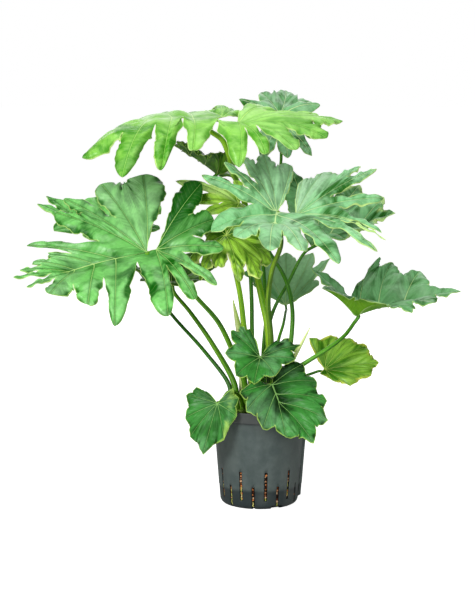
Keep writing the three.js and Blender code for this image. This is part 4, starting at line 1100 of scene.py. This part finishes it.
def pale_veins_and_painted_shade(m, leaf, tone, cloud):
    """Faint side veins that slant forward, pale main veins with painted shade in the channels beside
    them, and painted shade round the hub, which is painted sheen where its depth is below 0.
    """
    stripe = m.math("PINGPONG", m.attribute("side_vein"), SIDE_VEIN_SPACING / 2)
    inside = m.between(m.attribute("from_vein"), 1.5, 5)
    off_edge = m.between(m.attribute("edge"), 1.0, 6.0)
    side_line = m.times(m.times(m.between(stripe, 0.1, 0.7, 1, 0), inside), off_edge)
    m.tint(m.times(side_line, 0.12), tone["vein"])
    m.tint(m.between(m.attribute("from_vein"), 0.6, 4.5, look(leaf, CHANNEL_PAINTED_SHADE), 0), tone["deep"])
    # painted shade round the hub, under the main veins; where its depth is below 0 it is painted sheen
    _, hub_painted_shade, hub_reach, _ = look(leaf, STREAKS)
    from_hub = m.plus(m.attribute("along"), m.times(cloud, 0.12))
    hub = m.between(from_hub, 0.06, hub_reach, hub_painted_shade, 0)
    m.tint(hub, tone["deep"])
    m.tint(m.times(hub, -1.0), tone["painted_sheen"])
    m.tint(m.between(m.attribute("vein"), 0.3, look(leaf, VEIN_REACH), 0.8, 0), tone["vein"])
    return stripe, hub


def pale_margin(m, leaf, tone):
    """A thin, ragged pale margin, which reaches further in on one side of some leaves."""
    reach, column = look(leaf, MARGINS)
    middle = place(column, *leaf["hub"][1:])[0] * MM
    reached = m.between(m.axis("X"), middle - 0.01, middle + 0.03, 0, reach)
    close = m.math("SUBTRACT", 1.0, m.math("DIVIDE", m.attribute("edge"), m.plus(reached, 0.01)))
    patches = m.times(m.between(close, 0, 0.7), m.between(m.noise(34, 4), 0.36, 0.6))
    m.tint(m.times(patches, MARGIN_STRENGTH), tone["margin"])
    ragged = m.times(m.noise(60, 3), 2.0)
    rim = m.between(m.math("SUBTRACT", m.attribute("edge"), ragged), -0.6, 1.3, 1, 0)
    m.tint(m.times(rim, MARGIN_STRENGTH), tone["margin"])


# ------------------------------------------------------------------ stalks and bud sheaths

STALK_SIDES = 20
STALK_STEPS = 10
SHEATH_STEPS = 16
STALK_SEAT = 0.4  # from a stalk's end to its blade's middle plane
# Share of the CAD stalks' radii, whose corners are on the full radius: two of them pass each
# other closely
STALK_SLIMNESS = {"all": 0.955, "upper_back": 0.86, "variegated": 0.86}
BASE_SWELL = 0.05  # how much thicker a stalk is at its two ends, and over what lengths
BASE_SWELL_LENGTH = 22
NECK_SWELL = 0.22
NECK_SWELL_LENGTH = 5
STALK_FLATNESS = 0.1
STALK_FLAT_NARROWNESS = 6
STALK_FLAT_PACE = 4
SHEATH_FLATNESS = 0.35


def foot_points(base):
    """The first two points of a stalk or sheath, straight up from the crown."""
    return [np.array([*base, z]) for z in (CROWN_TOP + GAP, CROWN_TOP + STALK_RISE)]


def stalk_path(leaf):
    stalk, scale = leaf["stalk"], leaf.get("depth_scale", DEPTH_SCALE)
    y = stalk["base"][1]
    column, row, depth = leaf["hub"]
    hub = place(column, row, depth * scale)
    up = blade_frame(leaf["aim"])[2]
    via = [place(c, r, y + (d - y) * scale) for c, r, d in stalk["via"]]
    neck = stalk.get("neck", STALK_NECK)
    ends = [hub - up * neck, hub - up * STALK_SEAT]
    return smooth_line([*foot_points(stalk["base"]), *via, *ends], STALK_STEPS)


def stalk_section(turns, share):
    """Nearly round, with a flat stretch on the left that fades out towards the base."""
    left = np.maximum(0, np.cos(turns - np.pi)) ** STALK_FLAT_NARROWNESS
    return 1 - STALK_FLATNESS * left * smoothstep(share * STALK_FLAT_PACE)


def stalk_material(name, light, dark, depth=0.0):
    """Streaked lengthways with pale flecks, painted light on the left, darker below, dull at the base."""
    m = Shader(name, roughness=0.42, specular=0.3)
    turn, length, share = (m.attribute(key) for key in ("turn", "length", "share"))
    streak = m.noise(1.0, 3, m.vector(m.times(turn, 2.4), m.times(length, 0.012)))
    # painted light: the left side is lighter, as if lit from there
    left = m.between(m.math("COSINE", turn), -0.35, 0.25, 0.5, 0)
    m.blend(m.plus(m.between(streak, 0.35, 0.65, 0, 0.5), left), dark, light)
    m.tint(m.between(share, 0.15, 0.6, depth, 0), dark)
    m.tint(m.between(share, 0.0, 0.1, 0.4, 0), "#6c9430")
    m.tint(m.between(m.noise(420, 1), 0.68, 0.74, 0, 0.35), "#cfe29a")
    m.bump(m.noise(1.0, 2, m.vector(m.times(turn, 6.0), m.times(length, 0.03))), 0.0008, 0.35)
    return m.material


def make_stalk(leaf, materials):
    stalk = leaf["stalk"]
    path = stalk_path(leaf)
    lengths = lengths_along(path)
    share = lengths / lengths[-1]
    base, top = stalk["radii"]
    radii = (base + (top - base) * share**STALK_TAPER) * look(leaf, STALK_SLIMNESS)
    at_base = np.exp(-lengths / BASE_SWELL_LENGTH)
    at_neck = np.exp(-(lengths[-1] - lengths) / NECK_SWELL_LENGTH)
    radii *= 1 + BASE_SWELL * at_base + NECK_SWELL * at_neck
    points, faces, values = swept(path, radii, STALK_SIDES, stalk_section)
    made = piece(f"petiole_{leaf['name']}", points, faces, [materials[stalk["tone"]]], values)
    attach(made, "root")
    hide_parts(f"stalk_{leaf['name']}")


def sheath_section(turns, share):
    """Round at the base and flatter from front to back towards the tip."""
    return 1 - SHEATH_FLATNESS * np.abs(np.sin(turns)) * share


def make_bud_sheath(sheath, material):
    route = [place(*p) for p in (*sheath["via"], sheath["tip"])]
    path = smooth_line([*foot_points(sheath["base"]), *route], SHEATH_STEPS)
    lengths = lengths_along(path)
    share = lengths / lengths[-1]
    radii = sheath["radius"] * (1 - share**SHEATH_FULLNESS) + SHEATH_TIP_RADIUS * share
    points, faces, values = swept(path, radii, STALK_SIDES, sheath_section)
    made = piece(f"sheath_{sheath['name']}", points, faces, [material], values)
    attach(made, "root")
    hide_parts(f"bud_sheath_{sheath['name']}")


# ------------------------------------------------------------------ crown


def crown_material():
    """Green, ringed and scaly, with brown husk in places."""
    m = Shader("crown_skin", roughness=0.7, specular=0.3)
    rings = m.noise(1.0, 4, m.stretched(60, 60, 420))
    m.blend(m.between(rings, 0.35, 0.65), "#38521a", "#7c9c3c")
    m.tint(m.between(m.noise(45, 4), 0.54, 0.66, 0, 0.8), "#6a4c2c")
    m.bump(rings, 0.0015, 0.7)
    return m.material


CROWN_DEPTH = 34  # how far its stubs reach down into the clay
CROWN_LEVELS = 18
CROWN_SIDES = 18
CROWN_PROUD = 2.0  # how far a stub stands out round its stalk, and how much it widens downwards
CROWN_WIDENING = 1.4
CROWN_RING = 0.5  # depth of its rings, and how close they follow each other
CROWN_RING_PACE = 30
CROWN_TOP_PROUD = 0.6  # at the very top, over the last of its height
CROWN_CHAMFER = 1.0
CROWN_OVAL = 0.06
CROWN_TWIST = 5


def crown_feet():
    """Base and radius of each stalk and bud sheath where it leaves the crown."""
    feet = [(leaf["stalk"]["base"], leaf["stalk"]["radii"][0]) for leaf in LEAVES]
    return feet + [(sheath["base"], sheath["radius"]) for sheath in SHEATHS]


def crown_section(start):
    """Slightly oval, and turned a little more at every height."""

    def section(turns, share):
        return 1 + CROWN_OVAL * np.cos(2 * turns + start + CROWN_TWIST * share)

    return section


def make_crown():
    """A ringed, scaly stub under each stalk and sheath, widening into the clay."""
    rng = np.random.default_rng(5)
    levels = np.linspace(CROWN_TOP - CROWN_DEPTH, CROWN_TOP, CROWN_LEVELS)
    height = (levels - levels[0]) / (levels[-1] - levels[0])
    heights = np.append(levels - CROWN_CHAMFER, CROWN_TOP)
    stubs = []
    for (x, y), radius in crown_feet():
        rings = CROWN_RING * np.sin(height * CROWN_RING_PACE + rng.uniform(0, 6))
        radii = radius + CROWN_PROUD + CROWN_WIDENING * (1 - height) + rings
        radii = np.append(radii, radius + CROWN_TOP_PROUD)
        path = np.stack([np.full_like(heights, x), np.full_like(heights, y), heights], 1)
        stubs.append(swept(path, radii, CROWN_SIDES, crown_section(rng.uniform(0, 6)))[:2])
    crown = piece("crown_clump", *joined(stubs), [crown_material()])
    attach(crown, "root")
    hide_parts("crown")


# ------------------------------------------------------------------ culture pot

POT_SLOPE = (POT_TOP_RADIUS - POT_BASE_RADIUS) / POT_HEIGHT


def wall_radius(z):
    return POT_BASE_RADIUS + POT_SLOPE * z


def slot_angle(number):
    """Angle of a slot's middle in degrees, from the front to the right."""
    return SLOT_START_ANGLE + number * 360 / SLOT_COUNT


def round_axis(angle, out, aside=0.0):
    """X and Y at an angle in radians, some mm out from the pot's axis and some mm aside."""
    across = out * math.sin(angle) + aside * math.cos(angle)
    back = -out * math.cos(angle) + aside * math.sin(angle)
    return across, back


def arc(centre, radius, start, end, steps):
    """Points of an arc between two angles in degrees."""
    turns = np.radians(np.linspace(start, end, steps))
    return [(centre[0] + radius * math.cos(t), centre[1] + radius * math.sin(t)) for t in turns]


UNDERSIDE_RADII = (0, 20, 40, NOTCH_INNER)
# Heights at which the wall has a ring of points: those of the foot, of the body, which stands
# out from the foot by a slight ledge, and of the rim band
FOOT_LEVELS = (GAUGE_LOW - 1, GAUGE_LOW, GAUGE_LOW + 1, 17, 22, 29, 36.5)
BODY_LEVELS = (37.5, 45, 55, 65, 74, 85, 95, 109, 122, 135, 150, 162)
BAND_LEVELS = (175, 180, 185)
BAND_LOW = POT_HEIGHT - RIM_BAND_HEIGHT
FOOT_LEDGE = 0.5
LEDGE_LEVEL = 37
BAND_STEP = 0.6
BAND_ROUNDING = 1.0
LIP_ROUNDING = 1.4
SLOT_RADIUS = 78  # where the width of a slot is measured
NOTCH_RADIUS = 76
COLUMN_STEP = 2.2  # between the wall's columns, in degrees at most, and near the gauge channel
GAUGE_COLUMN_STEP = 0.8
GAUGE_SPREAD = 14
GAUGE_FOOT = 1.8  # over what heights the gauge channel grows out of the wall at its two ends
GAUGE_TOP = 3
CUT_SLACK = 0.1
NOTCH_SLACK = 0.8  # a notch ends at a level of the wall that is less than this over its top


def pot_outline():
    """Radius and height of the outside, from the middle of the underside up to the lip."""
    corner = (wall_radius(POT_CORNER) - POT_CORNER, POT_CORNER)
    band_corner = (wall_radius(BAND_LOW) + RIM_BAND_PROUD - BAND_ROUNDING, BAND_LOW + BAND_ROUNDING)
    lip_corner = (wall_radius(POT_HEIGHT) + RIM_BAND_PROUD - LIP_ROUNDING, POT_HEIGHT - LIP_ROUNDING)
    outline = [(radius, 0.0) for radius in UNDERSIDE_RADII]
    outline += arc(corner, POT_CORNER, -90, 0, 9)
    outline += [(wall_radius(z), z) for z in FOOT_LEVELS]
    outline += [(wall_radius(z) + FOOT_LEDGE, z) for z in BODY_LEVELS]
    outline += [(wall_radius(BAND_LOW) + FOOT_LEDGE, BAND_LOW - BAND_STEP)]
    outline += arc(band_corner, BAND_ROUNDING, -60, 0, 4)
    outline += [(wall_radius(z) + RIM_BAND_PROUD, z) for z in BAND_LEVELS]
    outline += arc(lip_corner, LIP_ROUNDING, 0, 90, 6)
    return outline


def cut_edges(middles, width, radius):
    """Angles in degrees of both edges of some cuts of one width."""
    half = math.degrees(math.asin(width / 2 / radius))
    return {round((middle + side) % 360, 4) for middle in middles for side in (-half, half)}


def pot_columns():
    """Angles of the wall's columns: the edges of the slots and notches, and steps between them."""
    slots = [slot_angle(i) % 360 for i in range(SLOT_COUNT)]
    edges = cut_edges(slots, SLOT_WIDTH, SLOT_RADIUS)
    edges = sorted(edges | cut_edges(NOTCH_ANGLES, NOTCH_WIDTH, NOTCH_RADIUS))
    columns = []
    for a, b in zip(edges, [*edges[1:], edges[0] + 360]):
        near_gauge = abs((a + b) / 2 - GAUGE_ANGLE) < GAUGE_SPREAD
        steps = math.ceil((b - a) / (GAUGE_COLUMN_STEP if near_gauge else COLUMN_STEP))
        columns += [a + (b - a) * k / steps for k in range(steps)]
    return columns


def turned_from(angle, middle):
    """Degrees from the middle to the angle, the short way round."""
    return (angle - middle + 180) % 360 - 180


def wall_cuts():
    """Every slot and notch: its angle, where its width is measured, its width and its heights."""
    cuts = []
    for i in range(SLOT_COUNT):
        bottom, top = LONG_SLOT if i % 2 == 0 else SHORT_SLOT
        cuts.append((slot_angle(i), SLOT_RADIUS, SLOT_WIDTH, bottom - CUT_SLACK, top + CUT_SLACK))
    for middle in NOTCH_ANGLES:
        cuts.append((middle, NOTCH_RADIUS, NOTCH_WIDTH, 0, NOTCH_TOP + NOTCH_SLACK))
    return cuts


def is_cut(cuts, angle, low, high, radius):
    """Whether a patch of wall at an angle, between two heights, lies in a slot or a notch."""
    if radius <= NOTCH_INNER - CUT_SLACK:
        return False
    for middle, measured_at, width, bottom, top in cuts:
        aside = math.radians(abs(turned_from(angle, middle))) * measured_at
        if aside <= width / 2 and low >= bottom and high <= top:
            return True
    return False


def gauge_swell(angle, radius, z):
    """How far the water-gauge channel stands out of the wall."""
    aside = math.radians(turned_from(angle, GAUGE_ANGLE)) * radius
    if abs(aside) >= GAUGE_RADIUS or not GAUGE_LOW - 1 < z < GAUGE_HIGH:
        return 0.0
    ends = smoothstep((z - GAUGE_LOW + 1) / GAUGE_FOOT) * smoothstep((GAUGE_HIGH - z) / GAUGE_TOP)
    return float(GAUGE_PROUD * ends * math.sqrt(1 - (aside / GAUGE_RADIUS) ** 2))


def pot_material():
    """Grey plastic, mottled and dusty."""
    m = Shader("pot_plastic", specular=0.4)
    height = m.axis("Z")
    mottle = m.noise(38, 5, roughness=0.6)
    speck = m.noise(520, 2)
    m.blend(m.between(mottle, 0.3, 0.7), "#434f4d", "#545f5d")
    m.tint(m.between(speck, 0.62, 0.72, 0, 0.3), "#3f474a")
    ledge, band = LEDGE_LEVEL * MM, BAND_LOW * MM
    # the foot below the ledge is wet and much darker, and the wall is a little darker at the top
    wavy = m.math("MULTIPLY_ADD", m.noise(18, 2), 0.004, -0.002)
    foot = m.between(m.plus(height, wavy), ledge - 0.004, ledge + 0.004, 1, 0)
    m.tint(m.times(foot, 0.75), "#0c1c20")
    m.tint(m.between(height, 0.13, POT_HEIGHT * MM, 0, 0.45), "#2c3432")
    # the rim band is a little browner, with a painted shadow line under it
    m.tint(m.between(height, band - 0.002, band, 0, 0.55), "#4a4848")
    under = m.between(height, band - 0.005, band - 0.001)
    line = m.times(under, m.between(height, band - 0.0005, band + 0.0005, 1, 0))
    m.tint(m.times(line, 0.7), "#24282a")
    m.tint(m.between(m.noise(1.0, 4, m.stretched(22, 22, 9)), 0.45, 0.75, 0, 0.22), "#747a74")
    m.set("Roughness", m.between(mottle, 0.3, 0.7, 0.42, 0.58))
    m.bump(m.plus(m.times(speck, 0.4), mottle), 0.0004, 0.35)
    return m.material


def make_pot():
    """The pot's outer skin, with its slots and openings left out, made as thick as the wall."""
    outline = pot_outline()
    columns = pot_columns()
    points = []
    for r, z in outline:
        for angle in columns:
            reach = r + (gauge_swell(angle, r, z) if r > NOTCH_INNER else 0)
            points.append((*round_axis(math.radians(angle), reach), z))
    wide = len(columns)
    cuts = wall_cuts()
    faces = []
    for i in range(len(outline) - 1):
        (ra, za), (rb, zb) = outline[i], outline[i + 1]
        for k in range(wide):
            after = (k + 1) % wide
            span = (columns[after] - columns[k]) % 360
            if is_cut(cuts, columns[k] + span / 2, min(za, zb), max(za, zb), min(ra, rb)):
                continue
            corners = (i * wide + k, i * wide + after, (i + 1) * wide + after, (i + 1) * wide + k)
            faces.append(corners[1:] if ra == 0 else corners)
    pot = piece("pot_shell", points, faces, [pot_material()])
    weld_mesh(pot)
    shell = pot.modifiers.new("wall", "SOLIDIFY")
    shell.thickness = POT_WALL * MM
    shell.offset = -1
    shell.use_even_offset = False
    apply_modifiers(pot)
    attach(pot, "root")
    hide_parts("culture_pot")


def weld_mesh(obj):
    mesh = bmesh.new()
    mesh.from_mesh(obj.data)
    bmesh.ops.remove_doubles(mesh, verts=mesh.verts, dist=1e-6)
    bmesh.ops.recalc_face_normals(mesh, faces=mesh.faces)
    mesh.to_mesh(obj.data)
    mesh.free()


def apply_modifiers(obj):
    """Bakes the modifiers into the mesh."""
    graph = bpy.context.evaluated_depsgraph_get()
    done = bpy.data.meshes.new_from_object(obj.evaluated_get(graph))
    obj.modifiers.clear()
    obj.data = done


# ------------------------------------------------------------------ expanded clay

GRANULE = 5.2  # radius of a pellet on top of the filling, and how much less or more it can be
GRANULE_SHARES = (0.78, 1.2)
GRANULE_STRETCH = (0.82, 1.12)
GRANULE_DENTS = 0.06
GRANULE_LEVELS = (-2.2, 1.2)  # how far its middle is above the filling
PACKING = 1.75  # distance between pellets, in radii
ROW_PACKING = 0.87  # distance between rows, as a share of that between pellets
JITTER = 1.6  # how far a pellet is from its place in the rows at most
FOOT_OVERLAP = 0.75  # share of a pellet's radius that is kept clear of a stalk's foot
SLOT_GRANULES = (1.9, 3.9)  # radii of the pellets behind a slot
# the gaps left behind a slot show the clay core's painted shade
SLOT_GAPS = 0.2  # share of the places behind a slot that are left dark
RECESS = (-1.4, 0.2)  # how far they are behind the wall's inside, or into the slot below 0
SLOT_SPREAD = 1.2  # and how far to its sides at most
CORNER_TOP = 14  # below it the pellets are further in, as the pot's rounded corner is
CORNER_RECESS = 0.55
FLOOR_TOP = 4.5  # lowest point of a pellet
SHORT_SLOT_PELLETS = 4  # where the pellets behind a short slot start
SLOT_BELOW = 3  # how far they go on past the slot's two ends
SLOT_ABOVE = 4
CHIP_SHARE = 0.35  # share of the places where a chip of clay sits in the slot itself
CHIP_LOW = 16  # and the least height of one, and the radii
CHIPS = (1.1, 1.9)


def ball(steps=2):
    """Points and triangles of a subdivided icosahedron of radius 1."""
    mesh = bmesh.new()
    bmesh.ops.create_icosphere(mesh, subdivisions=steps, radius=1)
    points = np.array([v.co[:] for v in mesh.verts])
    faces = np.array([[v.index for v in f.verts] for f in mesh.faces])
    mesh.free()
    return points, faces


def top_places(rng):
    """Centres and radii of the pellets on top of the filling, in rows round the stalks' feet."""
    feet = crown_feet()
    places = []
    limit = wall_radius(CLAY_TOP) - POT_WALL - 1
    spacing = GRANULE * PACKING
    rows = math.ceil(limit / spacing)
    for i in range(-rows, rows + 1):
        for j in range(-rows - 4, rows + 5):
            radius = GRANULE * rng.uniform(*GRANULE_SHARES)
            x = (j + 0.5 * (i % 2)) * spacing + rng.uniform(-JITTER, JITTER)
            y = i * spacing * ROW_PACKING + rng.uniform(-JITTER, JITTER)
            z = CLAY_TOP + rng.uniform(*GRANULE_LEVELS)
            inside = math.hypot(x, y) + radius <= limit
            keep_off = radius * FOOT_OVERLAP
            if inside and all(math.hypot(x - fx, y - fy) >= r + keep_off for (fx, fy), r in feet):
                places.append((x, y, z, radius))
    return places


def slot_places(rng, number):
    """Centres and radii of the pellets behind a slot, and of the chips of clay in it."""
    bottom, top = LONG_SLOT if number % 2 == 0 else (SHORT_SLOT_PELLETS, SHORT_SLOT[1])
    angle = math.radians(slot_angle(number))
    places = []
    z = bottom - SLOT_BELOW
    while z < top + SLOT_ABOVE:
        radius = rng.uniform(*SLOT_GRANULES)
        depth = wall_radius(z) - POT_WALL - radius - rng.uniform(*RECESS)
        if z < CORNER_TOP:
            depth -= (CORNER_TOP - z) * CORNER_RECESS
        x, y = round_axis(angle, depth, rng.uniform(-SLOT_SPREAD, SLOT_SPREAD))
        if rng.uniform() > SLOT_GAPS:
            places.append((x, y, max(z, FLOOR_TOP + radius), radius))
        if rng.uniform() < CHIP_SHARE and z > CHIP_LOW:
            chip = rng.uniform(*CHIPS)
            out = wall_radius(z) - POT_WALL / 2 - chip / 2
            places.append((*round_axis(angle, out), z, chip))
        z += radius * PACKING
    return places


# Root tips: the slot they're behind, counted from the first, and their lowest and highest points
ROOTS = [
    (16, 18, 30), (16, 36, 44), (17, 6, 24), (17, 22, 40), (18, 18, 36), (18, 36, 44), (19, 6, 16),
    (0, 18, 26), (2, 24, 36), (2, 42, 52), (1, 6, 12),
]
ROOT_STEPS = 5
ROOT_SWAY = 1.3
ROOT_RECESS = 0.7  # how far its middle is behind that of the wall
ROOT_FLOOR_OUT = 68  # how far out it is at the floor, and how much further out higher up
ROOT_SPREAD = 0.6
ROOT_SIDES = 7
ROOT_RADII = (1.1, 0.5)


def clay_material(name):
    """Fired clay: brown to orange by the pellet, a few of them pale, with pores and chalk."""
    m = Shader(name, roughness=0.9, specular=0.2)
    pores = m.noise(420, 3)
    m.blend(m.between(m.attribute("tone"), 0, 0.8), "#5c2810", "#cc7c44")
    m.tint(m.between(m.attribute("tone"), 0.8, 0.95), "#e4bc94")
    m.tint(m.between(pores, 0.5, 0.7, 0, 0.7), "#2a1a14")
    m.tint(m.between(m.noise(160, 3), 0.58, 0.7, 0, 0.45), "#c9a17c")
    m.bump(pores, 0.0008, 0.8)
    return m.material


def make_granules():
    """The pellets that show, each stretched, dented and turned in its own way."""
    rng = np.random.default_rng(11)
    sphere, triangles = ball()
    points, faces, tones = [], [], []
    places = top_places(rng)
    for number in range(SLOT_COUNT):
        places += slot_places(rng, number)
    for x, y, z, radius in places:
        stretch = rng.uniform(*GRANULE_STRETCH, 3)
        turn = np.linalg.qr(rng.normal(size=(3, 3)))[0]
        if np.linalg.det(turn) < 0:
            turn[0] *= -1
        dents = 1 + GRANULE_DENTS * np.sin(sphere @ rng.normal(size=3) * 4 + rng.uniform(0, 6))
        shape = (sphere * dents[:, None] * stretch) @ turn * radius
        faces.append(triangles + len(points) * len(sphere))
        points.append(shape + (x, y, z))
        tones.append(np.full(len(sphere), rng.uniform(0, 1)))
    granules = piece(
        "clay_granules",
        np.vstack(points),
        np.vstack(faces).tolist(),
        [clay_material("fired_clay")],
        {"tone": np.concatenate(tones)},
    )
    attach(granules, "root")


def make_roots():
    """Yellow-green root tips that have grown out to the wall at some of the slots."""
    rng = np.random.default_rng(5)
    tubes = []
    for slot, low, high in ROOTS:
        angle = math.radians(slot_angle(slot))
        heights = np.linspace(low, high, ROOT_STEPS)
        aside = rng.uniform(-ROOT_SWAY, ROOT_SWAY, ROOT_STEPS)
        in_wall = wall_radius(heights) - POT_WALL / 2 - ROOT_RECESS
        depth = np.minimum(in_wall, ROOT_FLOOR_OUT + ROOT_SPREAD * heights)
        line = smooth_line(np.stack([*round_axis(angle, depth, aside), heights], 1), 3)
        tubes.append(swept(line, np.linspace(*ROOT_RADII, len(line)), ROOT_SIDES)[:2])
    m = Shader("root_tips", roughness=0.6, specular=0.3)
    m.blend(m.between(m.noise(120, 3), 0.35, 0.65), "#8c9c2c", "#dcd880")
    roots = piece("root_tips", *joined(tubes), [m.material])
    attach(roots, "root")


def finish_clay_core():
    """Dark, gritty clay that shows between the pellets: its near-black brown is painted shade."""
    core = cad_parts["clay_filling"]
    m = Shader("clay_core_painted_shade", roughness=0.95, specular=0.1)
    grit = m.noise(260, 4)
    m.blend(m.between(grit, 0.4, 0.65), "#160e0a", "#3a2418")
    m.bump(grit, 0.002, 0.8)
    core.data.materials.clear()
    core.data.materials.append(m.material)


# ------------------------------------------------------------------ stage

ROOM_LIGHT = 0.15  # even light from all round; the camera sees the background as plain white
FLOOR_GLOW = 0.92  # lifts the floor to the background's white, so no horizon shows
FLOOR_GREY = 0.6
FLOOR_REACH = 30000
FLOOR_DROP = 0.2  # below the pot's underside
LIT_POINT = Vector((0, 0, 0.45))

# Soft lights: name, place and size in metres, and power in watts
SOFTBOXES = [
    ("key", (-1.5, -2.4, 2.0), 1.0, 78),
    ("overhead", (0.2, -0.3, 2.6), 1.8, 22),
    ("backdrop", (0.0, 2.8, 1.6), 2.6, 36),
    ("front", (0.7, -3.4, 1.0), 1.6, 32),
]


def softbox(name, where, size, power):
    light = bpy.data.lights.new(name, "AREA")
    light.size = size
    light.energy = power
    obj = bpy.data.objects.new(name, light)
    obj.visible_camera = False
    obj.location = where
    obj.rotation_euler = (LIT_POINT - Vector(where)).to_track_quat("-Z", "Y").to_euler()
    bpy.context.scene.collection.objects.link(obj)


def make_floor():
    corners = ((-1, -1), (1, -1), (1, 1), (-1, 1))
    points = [(x * FLOOR_REACH, y * FLOOR_REACH, -FLOOR_DROP) for x, y in corners]
    m = Shader("pale_floor", roughness=0.9, specular=0.1)
    m.colour((FLOOR_GREY, FLOOR_GREY, FLOOR_GREY, 1))
    m.set("Emission Color", (1, 1, 1, 1))
    m.set("Emission Strength", m.times(m.node("LightPath", {}, "Is Camera Ray"), FLOOR_GLOW))
    floor = piece("floor", points, [(0, 1, 2, 3)], [m.material])


def make_background():
    """White as the camera sees it, and dimmer as a light."""
    world = bpy.data.worlds.new("studio")
    bpy.context.scene.world = world
    world.use_nodes = True
    nodes, links = world.node_tree.nodes, world.node_tree.links
    background = nodes["Background"]
    background.inputs["Color"].default_value = (1, 1, 1, 1)
    strength = nodes.new("ShaderNodeMath")
    strength.operation = "MULTIPLY_ADD"
    links.new(nodes.new("ShaderNodeLightPath").outputs["Is Camera Ray"], strength.inputs[0])
    strength.inputs[1].default_value = 1 - ROOM_LIGHT
    strength.inputs[2].default_value = ROOM_LIGHT
    links.new(strength.outputs[0], background.inputs["Strength"])


def make_camera():
    camera = bpy.data.cameras.new("camera")
    camera.sensor_width = SENSOR
    camera.lens = PLANE_DISTANCE * SENSOR / PLANE_HEIGHT
    camera.clip_end = 100
    eye = bpy.data.objects.new("camera", camera)
    eye.location = EYE * MM
    eye.rotation_euler = (math.radians(90 - EYE_DIP), 0, 0)
    bpy.context.scene.collection.objects.link(eye)
    bpy.context.scene.camera = eye
    bpy.context.scene.view_settings.view_transform = "Standard"


# ------------------------------------------------------------------ assembly

make_floor()
make_background()
for light in SOFTBOXES:
    softbox(*light)
make_camera()
make_pot()
finish_clay_core()
make_granules()
make_roots()
make_crown()
stalk_looks = {key: stalk_material(f"stalk_{key}", *tones) for key, tones in STALK_TONES.items()}
for leaf in LEAVES:
    make_blade(leaf)
    make_stalk(leaf, stalk_looks)
sheath_look = stalk_material("sheath_skin", "#ecf8b0", "#bcdc68")
for sheath in SHEATHS:
    make_bud_sheath(sheath, sheath_look)
